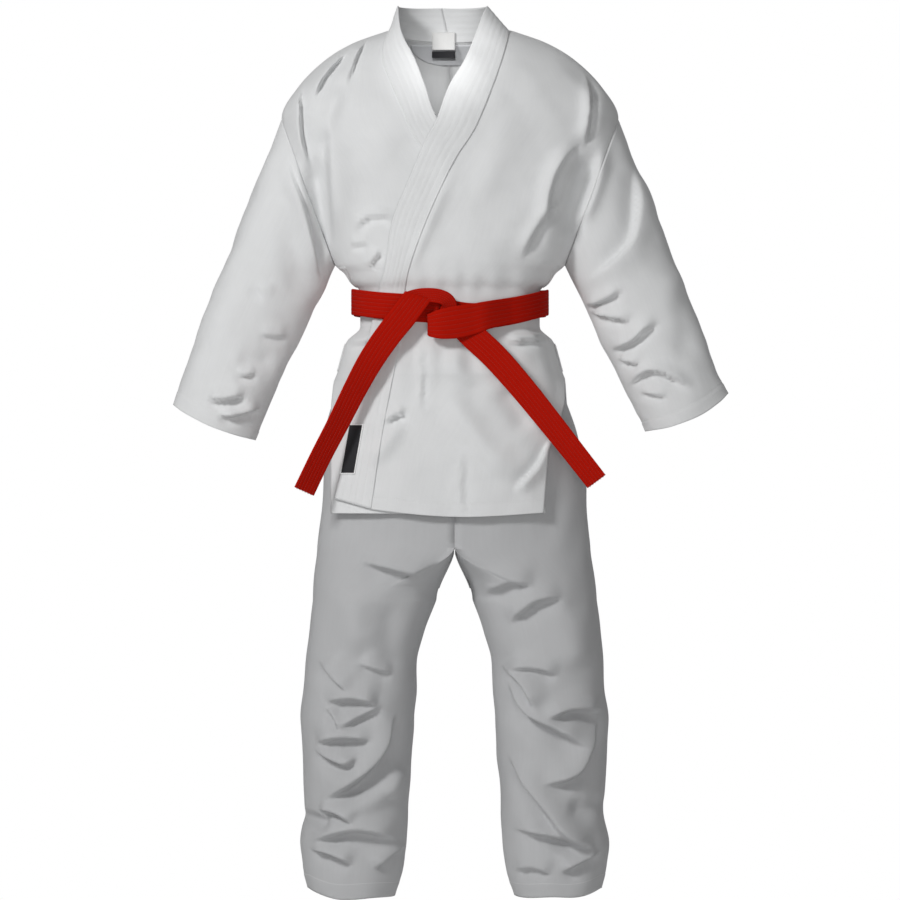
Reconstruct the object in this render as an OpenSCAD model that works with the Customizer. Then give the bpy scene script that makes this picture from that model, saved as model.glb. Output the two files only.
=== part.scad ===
// Martial arts uniform: a wrapped cotton jacket, straight trousers and a tied belt, hung as worn.
// Millimetres. +Z up, the front faces -Y, and +X is the wearer's left.
// The origin is the middle of the neck on the shoulder line.

/* [Cloth] */
// Thickness of one layer of the jacket and trousers
cloth = 2.2; // [1.5:0.1:2.6]
// Thickness of the folded and quilted collar band
band_cloth = 4; // [3:0.1:4.2]
// Thickness of a sewn-on label, tape or patch
patch_cloth = 1; // [0.6:0.1:1.2]

/* [Jacket] */
// Height of the jacket's hem, below the shoulder line
hem_z = -745; // [-760:1:-730]
// Height of the top of the side slits
slit_z = -527; // [-540:1:-520]
// Depth of the back panels as a share of the front's
back_flat = 0.95; // [0.9:0.01:1]
// Roundness of the body's cross-section, where 2 is an ellipse
body_round = 2.4; // [2.1:0.1:2.8]
// Lift of the outer front panel over the under panel and its band
wrap_lift = 5; // [4.6:0.1:5.4]
// Half width of the neck hole
neck_half_w = 92; // [90:1:94]
// Drop of the neck hole at the centre back
neck_drop = 14; // [10:1:18]
// Height of the standing collar's top edge
collar_top = 42; // [36:1:46]

/* [Sleeves] */
// Half depth of the armhole
arm_half_depth = 62; // [56:1:66]
// Half depth of the cuff
cuff_half_depth = 50; // [44:1:54]
// Clearance between a sleeve and its armhole seam
arm_gap = 1; // [0.6:0.1:2]

/* [Trousers] */
// Height of the top of the waistband
waist_z = -402; // [-406:1:-398]
// Height of the waistband
waistband_h = 38; // [30:1:38]
// Height of the crotch seam
crotch_z = -795; // [-800:1:-790]
// Height of the trousers' hems
leg_hem_z = -1338; // [-1345:1:-1330]
// Height of the hip axis that a leg swings about
hip_z = -800; // [-805:1:-795]
// Radius at which a leg parts from the seat, about the hip axis
hip_r = 160; // [155:1:165]

/* [Belt] */
// Width of the belt
belt_w = 40; // [36:1:42]
// Thickness of the belt
belt_t = 2.4; // [2:0.1:2.6]
// Height of the belt's middle at the sides
belt_z = -420; // [-422:1:-418]
// Thickness of the belt's free tails
tail_t = 3.5; // [3:0.1:4]
// Length of the left tail
left_tail_l = 278; // [260:1:290]
// Length of the right tail
right_tail_l = 300; // [280:1:310]

/* [Hidden] */

white_cotton = [0.93, 0.93, 0.93];
inner_cotton = [0.84, 0.85, 0.86];
red_cotton = [0.72, 0.1, 0.05];
black_weave = [0.06, 0.06, 0.07];

// The body's outline from the neck to the hem: height, half width, half depth.
body_outline = [
    [0, 92, 42], [-20, 148, 60], [-45, 190, 76], [-90, 235, 94], [-136, 258, 104],
    [-362, 175, 112], [-375, 162, 112], [-390, 150, 110], [-402, 137, 106], [-458, 137, 106],
    [-480, 158, 108], [-505, 166, 112], [-527, 172, 113], [-560, 187, 114], [-620, 204, 116],
    [-750, 218, 118]
];
// The armhole seam's two ends, as x and z.
arm_top = [261, -136];
arm_pit = [178, -362];
// The cuff's two corners, as x and z.
cuff_out = [430, -565];
cuff_in = [304, -627];
// Half width of the skirt's panels at the slit's top and at the hem.
skirt_half_w = [172, 182];
// The outer front panel's edge down the slit, as height and x.
outer_skirt_edge = [[-527, 172], [-575, 176], [-610, 165], [-650, 150], [-745, 143]];

// The collar bands' edges down the front: sewn edge x and z, free edge x and z, and the free edge's
// y where it stands clear of the chest.
left_band = [
    [91, -5, 57, 38, -22], [88, -22, 50, 22, -42], [80, -52, 38, -12, -60], [68, -90, 22, -56],
    [54, -128, -2, -98], [36, -165, -20, -146], [10, -202, -42, -186], [-14, -250, -64, -238],
    [-39, -307, -88, -298], [-60, -365, -98, -360], [-62, -375, -101, -371],
    [-66, -390, -105, -388], [-68, -400, -108, -400],
    [-70, -430, -115, -430], [-71, -458, -121, -458], [-72, -470, -124, -470],
    [-88, -545, -142, -550], [-104, -630, -158, -640], [-120, -738, -177, -722]
];
right_band = [
    [-93, -5, -80, 38, -22], [-101, -22, -78, 14, -42], [-104, -52, -72, -12, -60],
    [-90, -90, -54, -50], [-74, -128, -38, -92], [-58, -165, -22, -138], [-36, -202, 14, -186],
    [-10, -250, 38, -238], [18, -307, 62, -298], [42, -365, 86, -360],
    [45, -375, 90, -371], [49, -390, 95, -388], [52, -400, 98, -400],
    [54, -430, 102, -430], [55, -458, 106, -458], [56, -470, 108, -470],
    [68, -545, 118, -550], [80, -630, 130, -640], [94, -744, 146, -744]
];
// How far the standing collar leans to the wearer's right, and its top edge's half width and depth.
collar_lean = -12;
collar_half_w = 69;
collar_half_d = 56;

// The outer front panel's hem rises towards its free corner.
hem_rise = [[-180, 23], [-108, 5], [20, -5], [140, 1], [185, 5]];

panel_rows = [
    -5, -22, -38, -52, -70, -90, -110, -128, -136, -146, -165, -184, -202, -226, -250, -280, -307,
    -335, -350, -359, -362.5, -375, -390, -400, -430, -458, -470, -480, -505, -526, -545, -575,
    -605, -630, -670, -710, hem_z
];
panel_cols = 12;

// The trousers' outline above the crotch: height, half width, half depth.
seat_outline = [
    [-440, 132, 97], [-470, 138, 99], [-505, 152, 102], [-527, 161, 104], [-560, 175, 106],
    [-620, 194, 108], [-680, 202, 109], [-745, 206, 110], [-795, 212, 108]
];
// A trouser leg's outline: height, middle, half width, half depth.
leg_outline = [
    [-880, 124, 96, 98], [-930, 136, 90, 95], [-975, 144, 86, 92], [-1020, 146, 87, 90],
    [-1066, 151, 88, 88], [-1113, 151, 85, 86], [-1160, 152, 82, 84], [-1206, 152, 80, 82],
    [-1252, 156, 82, 80], [-1300, 160, 76, 78], [-1338, 161, 72, 75]
];
leg_round = 2.2;
leg_cols = 32;
seat_rows = [-440, -470, -505, -527, -560, -620, -680, -745, crotch_z];
crotch_half_gap = 0.6;
thigh_z = -880;

// The belt lies outside every layer of the jacket.
belt_side_gap = 10;
belt_front_gap = 10.5;
belt_back_gap = 4;
belt_drop_left = 24;
belt_drop_right = 12;
belt_cols = 48;
belt_layer = belt_t + 0.4;

// The knot and the tails stand in front of the belt.
knot_mid = [-16, -137, -440];
tail_y = -131;
left_tail_top = [44, -486];
left_tail_lean = 40;
right_tail_top = [-80, -440];
right_tail_lean = 29;

function column(table, k) = [for (row = table) [row[0], row[k]]];
function power(v, p) = sign(v) * pow(abs(v), p);
function mix(a, b, t) = a + (b - a) * t;
function ease(t) = let (c = min(1, max(0, t))) c * c * (3 - 2 * c);
function oval(a, b, u, n) = [a * power(sin(u), 2 / n), -b * power(cos(u), 2 / n)];

// The body's surface. u goes round it from the centre front, through the wearer's left side at 90.
body_half_w = column(body_outline, 1);
body_half_d = column(body_outline, 2);

function in_armhole(z) = z < arm_top[1] && z > arm_pit[1];
function along_seam(z) = (z - arm_top[1]) / (arm_pit[1] - arm_top[1]);
function seam_x(z) = mix(arm_top[0], arm_pit[0], along_seam(z));
function seam_depth(z) = arm_half_depth * sqrt(1 - pow(2 * along_seam(z) - 1, 2));
function row_d(z, back) = lookup(z, body_half_d) * (back ? back_flat : 1);
function row_w(z, o, back) = in_armhole(z)
    ? seam_x(z) / pow(1 - pow((seam_depth(z) + o) / (row_d(z, back) + o), body_round), 1 / body_round)
    : lookup(z, body_half_w) + o;
function turn_at(x, w) = sign(x) * asin(pow(min(1, abs(x) / w), body_round / 2));
function skirt_x(z) = mix(skirt_half_w[0], skirt_half_w[1], (z - slit_z) / (hem_z - slit_z));
function side_turn(z, o, back) = in_armhole(z) ? turn_at(seam_x(z), row_w(z, o, back))
    : z < slit_z ? turn_at(skirt_x(z), row_w(z, o, back)) : 90;
// Near the shoulders a layer is laid on upwards as well as outwards.
function upward(z) = lookup(z, [[-200, 0], [-136, 0.7], [0, 1]]);
function body(z, u, o) = let (
        back = cos(u) < 0,
        p = oval(row_w(z, o, back), row_d(z, back) + o, u, body_round)
    ) [p[0], p[1], z + o * upward(z)];
function chest(x, z, o) = body(z, turn_at(x, row_w(z, o, false)), o);

// The outer front panel climbs over the under panel below the neck, and over its whole width at the
// slits.
function lift(z, share) = wrap_lift * ease((-40 - z) / 80)
    * max(ease((slit_z - z) / 53), ease((0.72 - share) / 0.19));

// A cloth wall between two grids of points. The rows before ring_from end at the column cut, and
// the others close on themselves.
module wall(outer, inner, cut, ring_from) {
    rows = len(outer);
    cols = len(outer[0]);
    last = is_undef(cut) ? cols - 1 : cut;
    first_ring = is_undef(ring_from) ? rows : ring_from;
    function at(side, i, j) = (side * rows + i) * cols + j % cols;
    function quad(a, b, c, d) = [[a, b, c], [a, c, d]];
    function is_there(i, j) = i >= first_ring || j < last;
    skins = [
        for (i = [0 : rows - 2], j = [0 : cols - 1]) if (is_there(i, j)) each concat(
            quad(at(0, i, j), at(0, i, j + 1), at(0, i + 1, j + 1), at(0, i + 1, j)),
            quad(at(1, i, j), at(1, i + 1, j), at(1, i + 1, j + 1), at(1, i, j + 1)))
    ];
    sides = [
        for (i = [0 : 1 : min(rows - 2, first_ring - 1)]) each concat(
            quad(at(0, i, 0), at(0, i + 1, 0), at(1, i + 1, 0), at(1, i, 0)),
            quad(at(0, i, last), at(1, i, last), at(1, i + 1, last), at(0, i + 1, last)))
    ];
    top = [
        for (j = [0 : cols - 1]) if (is_there(0, j))
            each quad(at(0, 0, j + 1), at(0, 0, j), at(1, 0, j), at(1, 0, j + 1))
    ];
    joining = [
        for (j = [last : cols - 1]) if (first_ring > 0 && first_ring < rows)
            each quad(at(0, first_ring, j + 1), at(0, first_ring, j),
                at(1, first_ring, j), at(1, first_ring, j + 1))
    ];
    foot = [
        for (j = [0 : cols - 1]) if (is_there(rows - 1, j))
            each quad(at(0, rows - 1, j), at(0, rows - 1, j + 1),
                at(1, rows - 1, j + 1), at(1, rows - 1, j))
    ];
    polyhedron(
        points = concat([for (row = outer) each row], [for (row = inner) each row]),
        faces = concat(skins, sides, top, joining, foot));
}

// A patch of cloth that lies on the body between two turns, with its under face at offset o.
module patch(rows, from, to, cols, o, thick) {
    function grid(off) = [
        for (z = rows) [for (j = [0 : cols - 1]) body(z, mix(from(z), to(z), j / (cols - 1)), off)]
    ];
    wall(grid(o + thick), grid(o));
}

module jacket_back_left() {
    function neck_x(z) = neck_half_w * sqrt(max(0, 1 - pow(z / neck_drop, 2)));
    function row(z, o) = let (
            start = 180 - side_turn(z, o, true),
            stop = 180 - turn_at(neck_x(z), row_w(z, o, true))
        ) [for (j = [0 : panel_cols - 1]) body(z, mix(start, stop, j / (panel_cols - 1)), o)];
    rows = concat([-3, -7, -10, -12, -neck_drop], [for (z = panel_rows) if (z < -20) z]);
    color(white_cotton) wall([for (z = rows) row(z, cloth)], [for (z = rows) row(z, 0)]);
}

module jacket_back_right() {
    mirror([1, 0, 0]) jacket_back_left();
}

// The outer front panel wraps left over right, so it ends past the centre.
module jacket_front_left() {
    sewn = [for (s = left_band) [s[1], s[0] + (len(s) > 4 ? 5 : s[1] < -600 ? 1.8 : 0.6)]];
    function row(z, o) = let (
            stop = z < slit_z
                ? turn_at(lookup(z, outer_skirt_edge), row_w(z, o, false)) : side_turn(z, o, false),
            start = turn_at(lookup(z, sewn), row_w(z, o + lift(z, 0), false))
        ) [
            for (j = [0 : panel_cols - 1])
            let (u = mix(start, stop, j / (panel_cols - 1)), p = body(z, u, o + lift(z, u / stop)))
            [min(p[0], in_armhole(z) ? seam_x(z) : p[0]), p[1], p[2] + rise(p[0], z)]
        ];
    function rise(x, z) = lookup(x, hem_rise) * ease((-560 - z) / 185);
    color(white_cotton)
        wall([for (z = panel_rows) row(z, cloth)], [for (z = panel_rows) row(z, 0)]);
}

module jacket_front_right() {
    sewn = [for (s = right_band) [s[1], s[0] - (len(s) > 4 ? 5 : 0.6)]];
    function row(z, o) = let (
            start = -side_turn(z, o, false),
            stop = turn_at(lookup(z, sewn), row_w(z, o, false))
        ) [for (j = [0 : panel_cols - 1]) body(z, mix(start, stop, j / (panel_cols - 1)), o)];
    color(white_cotton)
        wall([for (z = panel_rows) row(z, cloth)], [for (z = panel_rows) row(z, 0)]);
}

// A collar band: half of the long strip that stands round the neck and edges one front panel.
// side is 1 on the wearer's left and -1 on the right.
band_cols = 5;
neck_steps = 6;
neck_rest = 2.7;
function pushed(p, d) = let (h = norm([p[0] - collar_lean / 2, p[1]]))
    [p[0] + d * (p[0] - collar_lean / 2) / h, p[1] + d * p[1] / h, p[2]];
function neck_edges(k, side) = let (
        a = 90 * k / neck_steps,
        z = neck_rest - neck_drop * cos(a),
        x = (neck_half_w - 1) * sin(a),
        low = z - neck_rest,
        y = body(low, 180 - turn_at(x, row_w(low, 0, true)), 0)[1]
    ) [
        [side * x, y, z],
        [collar_lean + side * collar_half_w * sin(a), 2 + collar_half_d * cos(a),
            collar_top - 2 * sin(a)]
    ];
function band_row(station, o, thick, side) = let (
        sewn = chest(station[0], station[1], o),
        free = len(station) > 4
            ? [station[2], station[4], station[3]] : chest(station[2], station[3], o)
    ) [
        for (j = [0 : band_cols - 1])
        let (t = side > 0 ? 1 - j / (band_cols - 1) : j / (band_cols - 1))
        len(station) > 4
            ? pushed(mix(sewn, free, t), thick)
            : chest(mix(sewn[0], free[0], t), mix(station[1], station[3], t), o + thick)
    ];
module collar_band(stations, side, lifted) {
    function grid(thick) = concat(
        [
            for (k = [0 : neck_steps - 1]) let (e = neck_edges(k, side)) [
                for (j = [0 : band_cols - 1])
                let (t = side > 0 ? 1 - j / (band_cols - 1) : j / (band_cols - 1))
                pushed(mix(e[0], e[1], t), thick)
            ]
        ],
        [for (s = stations) band_row(s, lifted ? lift(s[1], 0) : 0, thick, side)]);
    color(white_cotton) wall(grid(band_cloth), grid(0));
}

module collar_band_left() {
    collar_band(left_band, 1, true);
}

module collar_band_right() {
    collar_band(right_band, -1, false);
}

// Half-moon facing inside the back neck.
module neck_yoke() {
    moon_top = -16;
    moon_h = 30;
    moon_half_w = 62;
    function reach(z) = turn_at(
        max(6, moon_half_w * sqrt(max(0, 1 - pow((z - moon_top) / moon_h, 2)))), row_w(z, 0, true));
    color(inner_cotton)
        patch([for (k = [0 : 6]) moon_top - moon_h * k / 6], function(z) 180 - reach(z),
            function(z) 180 + reach(z), 9, -0.9 - patch_cloth, patch_cloth);
}

// A plain woven label and a plain tag below it, inside the collar.
module neck_tag(w, h, mid) {
    translate(mid) rotate([-6, 0, 0]) cube([w, patch_cloth, h], center = true);
}

module size_label() {
    color(white_cotton) neck_tag(36, 28, [-10, 48, -10]);
}

module care_tag() {
    color(black_weave) neck_tag(36, 10, [-10, 50.5, -31]);
}

// The sleeve is a tapered tube from the armhole's slanting seam to the cuff.
module left_sleeve() {
    seam = arm_top - arm_pit;
    seam_dir = seam / norm(seam);
    outwards = [seam_dir[1], -seam_dir[0]];
    cuff = cuff_out - cuff_in;
    steps = 7;
    cols = 32;
    function ring(mid, dir, half, depth, u) = let (p = oval(half, depth, u, 2))
        [mid[0] + dir[0] * p[0], p[1], mid[1] + dir[1] * p[0]];
    function tube(inset) = [
        for (i = [0 : steps]) [
            for (j = [0 : cols - 1]) let (u = 360 * j / cols) mix(
                ring((arm_top + arm_pit) / 2 + outwards * arm_gap, seam_dir,
                    norm(seam) / 2 - inset, arm_half_depth + cloth - inset, u),
                ring((cuff_out + cuff_in) / 2, cuff / norm(cuff),
                    norm(cuff) / 2 - inset, cuff_half_depth - inset, u),
                i / steps)
        ]
    ];
    color(white_cotton) wall(tube(0), tube(cloth), ring_from = 0);
}

module right_sleeve() {
    mirror([1, 0, 0]) left_sleeve();
}

// Three-cornered piece under the arm.
module left_gusset() {
    top_z = -366;
    foot_z = -396;
    function reach(z) = mix(4, 24, (z - foot_z) / (top_z - foot_z));
    color(white_cotton)
        patch([for (k = [0 : 4]) mix(top_z, foot_z, k / 4)], function(z) 90 - reach(z),
            function(z) 90 + reach(z), 7, cloth + 0.9, patch_cloth);
}

module right_gusset() {
    mirror([1, 0, 0]) left_gusset();
}

// Patch that holds the front and back together at the top of a side slit.
module left_vent_patch() {
    reach = 9;
    color(white_cotton)
        patch([-484, -495, -506, -517, -525], function(z) 90 - reach, function(z) 90 + reach, 5,
            cloth + 0.9, patch_cloth);
}

module right_vent_patch() {
    mirror([1, 0, 0]) left_vent_patch();
}

// Plain black patch on the left band, near the hem.
module hem_patch() {
    top = -609;
    height = 75;
    half_w = 10;
    lean = tan(10);
    o = wrap_lift + band_cloth + 0.4;
    function grid(off) = [
        for (k = [0 : 4]) let (z = top - height * k / 4) [
            for (j = [-1 : 1]) chest(-139 + j * half_w + (z - top) * lean, z, off)
        ]
    ];
    color(black_weave) wall(grid(o + patch_cloth), grid(o));
}

// The belt goes twice round the waist, and dips to the knot at the front.
module belt_wrap(layer) {
    o = layer * belt_layer;
    waist_w = lookup(belt_z, body_half_w) + belt_side_gap;
    waist_d = lookup(belt_z, body_half_d);
    function grid(off) = [
        for (k = [0 : 2]) [
            for (j = [0 : belt_cols - 1])
            let (
                u = 360 * j / belt_cols,
                front = cos(u) > 0,
                d = front ? waist_d + belt_front_gap : waist_d * back_flat + belt_back_gap,
                p = oval(waist_w + off, d + off, u, body_round),
                drop = mix(belt_drop_right, belt_drop_left, ease(0.5 + p[0] / 90)),
                dip = drop * pow(max(0, cos(u)), 2)
            )
            [p[0], p[1], belt_z + belt_w / 2 - k * belt_w / 2 - dip]
        ]
    ];
    color(red_cotton) wall(grid(o + belt_t), grid(o), ring_from = 0);
}

module belt_inner_wrap() {
    belt_wrap(0);
}

module belt_outer_wrap() {
    belt_wrap(1);
}

// A rounded block, for the folds of the knot.
module pillow(size, r) {
    hull() {
        for (x = [-1, 1], y = [-1, 1], z = [-1, 1])
            translate([x * (size[0] / 2 - r), y * (size[1] / 2 - r), z * (size[2] / 2 - r)])
                sphere(r, $fn = 16);
    }
}

// The square knot: an upright fold over two level ones.
module belt_knot() {
    color(red_cotton) translate(knot_mid) union() {
        rotate([0, 14, 0]) pillow([44, 30, 84], 9);
        translate([-14, 2, 26]) rotate([0, 4, 0]) pillow([56, 24, 24], 8);
        translate([12, 3, -20]) rotate([0, 30, 0]) pillow([56, 22, 32], 8);
    }
}

// A free end of the belt, cut square, hanging away from the knot.
module belt_tail(top, lean, length) {
    color(red_cotton)
        translate([top[0], tail_y, top[1]]) rotate([0, lean, 0])
            translate([-belt_w / 2, -tail_t / 2, -length]) cube([belt_w, tail_t, length]);
}

module left_belt_tail() {
    belt_tail(left_tail_top, -left_tail_lean, left_tail_l);
}

module right_belt_tail() {
    belt_tail(right_tail_top, right_tail_lean, right_tail_l);
}

// The trousers' surface on the wearer's left. u goes round from the centre front to the back at
// 180, and below the crotch on round the inside of the leg.
seat_half_w = column(seat_outline, 1);
seat_half_d = column(seat_outline, 2);
leg_mid = column(leg_outline, 1);
leg_half_w = column(leg_outline, 2);
leg_half_d = column(leg_outline, 3);

function seat_point(z, u, o) = let (
        p = oval(lookup(z, seat_half_w) + o, lookup(z, seat_half_d) + o, u, body_round)
    ) [u > 180 ? crotch_half_gap - o : max(0, p[0]), p[1], z];
function leg_point(z, u, o) = let (
        p = oval(lookup(z, leg_half_w) + o, lookup(z, leg_half_d) + o, u, leg_round)
    ) [lookup(z, leg_mid) + p[0], p[1], z];
function trouser_point(z, u, o) = let (
        t = ease((crotch_z - z) / (crotch_z - thigh_z)),
        p = mix(seat_point(max(z, crotch_z), u, o), leg_point(min(z, thigh_z), u, o), t)
    ) [p[0], p[1], z];
// The seat and the leg part on a cylinder about the hip axis, so that the leg can swing.
function parting_point(u, o, r) = let (p = trouser_point(hip_z - r, u, o))
    [p[0], p[1], hip_z - sqrt(r * r - p[1] * p[1])];
function trouser_row(z, o) = [
    for (j = [0 : leg_cols - 1]) trouser_point(z, 360 * j / leg_cols, o)
];
function parting_row(o, r) = [for (j = [0 : leg_cols - 1]) parting_point(360 * j / leg_cols, o, r)];

module left_seat() {
    thigh_rows = [crotch_z, -812, -830, -855, -880];
    function grid(o) = concat(
        [for (z = seat_rows) if (z > crotch_z) trouser_row(z, o)],
        [for (z = thigh_rows) trouser_row(z, o)],
        [parting_row(o, hip_r)]);
    color(inner_cotton) wall(grid(0), grid(-cloth), leg_cols / 2, len(seat_rows) - 1);
}

module right_seat() {
    mirror([1, 0, 0]) left_seat();
}

module left_leg() {
    rows = [-1000, -1040, -1085, -1130, -1175, -1220, -1260, -1300, leg_hem_z];
    function grid(o) = concat([parting_row(o, hip_r + 1.5)], [for (z = rows) trouser_row(z, o)]);
    color(inner_cotton) wall(grid(0), grid(-cloth), ring_from = 0);
}

module right_leg() {
    mirror([1, 0, 0]) left_leg();
}

// Casing for the elastic and the drawstring.
module waistband() {
    w = lookup(waist_z - waistband_h, seat_half_w);
    d = lookup(waist_z - waistband_h, seat_half_d);
    function grid(o) = [
        for (k = [0 : 2]) [
            for (j = [0 : belt_cols - 1])
            let (p = oval(w + o, d + o, 360 * j / belt_cols, body_round))
            [p[0], p[1], waist_z - waistband_h * k / 2]
        ]
    ];
    color(inner_cotton) wall(grid(0), grid(-band_cloth), ring_from = 0);
}

// Reinforcing saddle under the crotch seam: two wings that lie against the insides of the legs.
module crotch_gusset() {
    top = -822;
    height = 44;
    function reach(k) = mix(26, 6, k / 4);
    function grid(o) = [
        for (k = [0 : 4]) let (z = top - height * k / 4) [
            for (j = [0 : 6]) trouser_point(z, 270 + mix(-1, 1, j / 6) * reach(k), o)
        ]
    ];
    module wing() {
        wall(grid(0.9 + patch_cloth), grid(0.9));
    }
    color(inner_cotton) {
        wing();
        mirror([1, 0, 0]) wing();
        translate([-5.7, -24, top - 1]) cube([11.4, 48, 3]);
    }
}

jacket_back_left();
jacket_back_right();
jacket_front_left();
jacket_front_right();
collar_band_left();
collar_band_right();
neck_yoke();
size_label();
care_tag();
left_sleeve();
right_sleeve();
left_gusset();
right_gusset();
left_vent_patch();
right_vent_patch();
hem_patch();
belt_inner_wrap();
belt_outer_wrap();
belt_knot();
left_belt_tail();
right_belt_tail();
waistband();
left_seat();
right_seat();
crotch_gusset();
left_leg();
right_leg();
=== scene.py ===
import math

import bmesh
import bpy
import numpy as np
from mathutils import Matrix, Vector


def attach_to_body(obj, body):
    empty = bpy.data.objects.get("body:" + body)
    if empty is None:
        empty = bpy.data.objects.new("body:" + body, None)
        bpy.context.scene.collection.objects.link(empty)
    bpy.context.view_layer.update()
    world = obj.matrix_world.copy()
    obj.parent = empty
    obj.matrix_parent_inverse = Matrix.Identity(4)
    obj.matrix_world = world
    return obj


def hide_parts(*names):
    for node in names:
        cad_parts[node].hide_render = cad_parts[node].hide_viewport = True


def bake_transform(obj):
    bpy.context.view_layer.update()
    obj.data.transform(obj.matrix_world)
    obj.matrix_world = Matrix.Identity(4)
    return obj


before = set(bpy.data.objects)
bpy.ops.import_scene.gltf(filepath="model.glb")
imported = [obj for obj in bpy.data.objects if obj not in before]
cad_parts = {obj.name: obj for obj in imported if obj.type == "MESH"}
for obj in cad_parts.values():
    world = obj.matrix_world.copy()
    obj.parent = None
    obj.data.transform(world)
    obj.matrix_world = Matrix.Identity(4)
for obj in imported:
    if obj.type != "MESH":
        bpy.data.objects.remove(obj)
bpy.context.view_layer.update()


# The studio: a pale floor well below the trouser hems, a white surround, a key lamp high on the
# left, a soft lamp low in front, one behind, a narrow one for the inside of the neck, and a long
# lens level with the middle of the uniform.
def add_node(tree, kind, inputs=None, **settings):
    node = tree.nodes.new(kind)
    for name, value in settings.items():
        setattr(node, name, value)
    for name, value in (inputs or {}).items():
        if isinstance(value, bpy.types.NodeSocket):
            tree.links.new(value, node.inputs[name])
        else:
            node.inputs[name].default_value = value
    return node


def add_lamp(name, place, target, watts, size=0.0, cone=0.0):
    """A square lamp of some size, or a spot whose cone is so many degrees wide."""
    lamp = bpy.data.lights.new(name, "SPOT" if cone else "AREA")
    lamp.energy = watts
    if cone:
        lamp.spot_size = math.radians(cone)
        lamp.spot_blend = 1.0
        lamp.shadow_soft_size = 0.05
    else:
        lamp.size = size
    stand = bpy.data.objects.new(name, lamp)
    stand.location = place
    stand.rotation_euler = (Vector(target) - Vector(place)).to_track_quat("-Z", "Y").to_euler()
    bpy.context.collection.objects.link(stand)


scene = bpy.context.scene
scene.view_settings.view_transform = "Standard"
surround = bpy.data.worlds.new("Surround")
surround.use_nodes = True
surround.node_tree.nodes.clear()
seen = add_node(surround.node_tree, "ShaderNodeLightPath").outputs["Is Camera Ray"]
glow, paper = (add_node(surround.node_tree, "ShaderNodeBackground",
                        {"Color": (1, 1, 1, 1), "Strength": strength}) for strength in (0.20, 1.0))
both = add_node(surround.node_tree, "ShaderNodeMixShader",
                {0: seen, 1: glow.outputs[0], 2: paper.outputs[0]})
add_node(surround.node_tree, "ShaderNodeOutputWorld", {"Surface": both.outputs[0]})
scene.world = surround

add_lamp("Key lamp", (-1.9, -2.7, 1.15), (0, 0, -0.6), 72, size=0.7)
add_lamp("Fill lamp", (0.5, -5.2, -0.8), (0, 0, -0.75), 54, size=2.0)
add_lamp("Back lamp", (0.5, 3.0, 1.2), (0, 0, -0.6), 35, size=2.4)
add_lamp("Neck lamp", (-0.1, -2.6, 0.35), (-0.004, 0.05, -0.07), 200, cone=3.8)

camera = bpy.data.objects.new("Camera", bpy.data.cameras.new("Camera"))
camera.data.lens = 180
camera.data.sensor_width = 36
camera.data.clip_end = 50
camera.location = (0, -6.975, -0.648)
camera.rotation_euler = (math.radians(90), 0, 0)
bpy.context.collection.objects.link(camera)
scene.camera = camera

floor_mesh = bpy.data.meshes.new("Floor")
floor_reach, floor_z = 1.7, -1.72
floor_mesh.from_pydata([(x * floor_reach, y * floor_reach, floor_z)
                        for x, y in ((-1, -1), (1, -1), (1, 1), (-1, 1))], [], [(0, 1, 2, 3)])
floor_paint = bpy.data.materials.new("Pale floor")
floor_paint.use_nodes = True
floor_shader = floor_paint.node_tree.nodes["Principled BSDF"]
floor_shader.inputs["Base Color"].default_value = (0.86, 0.86, 0.86, 1)
floor_shader.inputs["Roughness"].default_value = 0.9
floor_mesh.materials.append(floor_paint)
floor = bpy.data.objects.new("Floor", floor_mesh)
bpy.context.collection.objects.link(floor)


# The trousers: two halves of light plain-weave cotton, joined by a centre seam and a saddle under
# the crotch. Each leg hangs as one wide tube, sharply creased below the knee, with a turned hem.
def smooth(share):
    share = np.clip(share, 0, 1)
    return share * share * (3 - 2 * share)


def through(table, column=1):
    """A monotone curve through a table's rows, which are sorted by their first value."""
    rows = sorted(table, key=lambda row: row[0])
    x = np.array([row[0] for row in rows], float)
    y = np.array([row[column] for row in rows], float)
    step = np.diff(x)
    rise = np.diff(y) / step
    slope = np.zeros_like(y)
    for k in range(1, len(x) - 1):
        if rise[k - 1] * rise[k] > 0:
            a, b = 2 * step[k] + step[k - 1], step[k] + 2 * step[k - 1]
            slope[k] = (a + b) / (a / rise[k - 1] + b / rise[k])
    slope[0], slope[-1] = rise[0], rise[-1]

    def value(at):
        at = np.clip(at, x[0], x[-1])
        k = np.clip(np.searchsorted(x, at, side="right") - 1, 0, len(step) - 1)
        t = (at - x[k]) / step[k]
        return (
            (1 + 2 * t) * (1 - t) ** 2 * y[k] + t * (1 - t) ** 2 * step[k] * slope[k]
            + t * t * (3 - 2 * t) * y[k + 1] + t * t * (t - 1) * step[k] * slope[k + 1]
        )

    return value


def oval(half_w, half_d, turn, roundness):
    s, c = np.sin(np.radians(turn)), np.cos(np.radians(turn))
    power = 2 / roundness
    return half_w * np.sign(s) * np.abs(s) ** power, -half_d * np.sign(c) * np.abs(c) ** power


def curve_through(knots, step):
    """Points about a step apart on a soft curve through some knots."""
    knots = np.array(knots, float)
    if len(knots) == 2:
        knots = np.array([knots[0], knots.mean(0), knots[1]])
    ends = np.vstack([2 * knots[0] - knots[1], knots, 2 * knots[-1] - knots[-2]])
    points = [knots[:1]]
    for a, b, c, d in zip(ends, ends[1:], ends[2:], ends[3:]):
        t = np.linspace(0, 1, max(2, int(np.linalg.norm(c - b) / step) + 2))[1:, None]
        points.append(0.5 * (2 * b + (c - a) * t + (2 * a - 5 * b + 4 * c - d) * t ** 2
                             + (3 * b - a - 3 * c + d) * t ** 3))
    return np.vstack(points)


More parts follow.
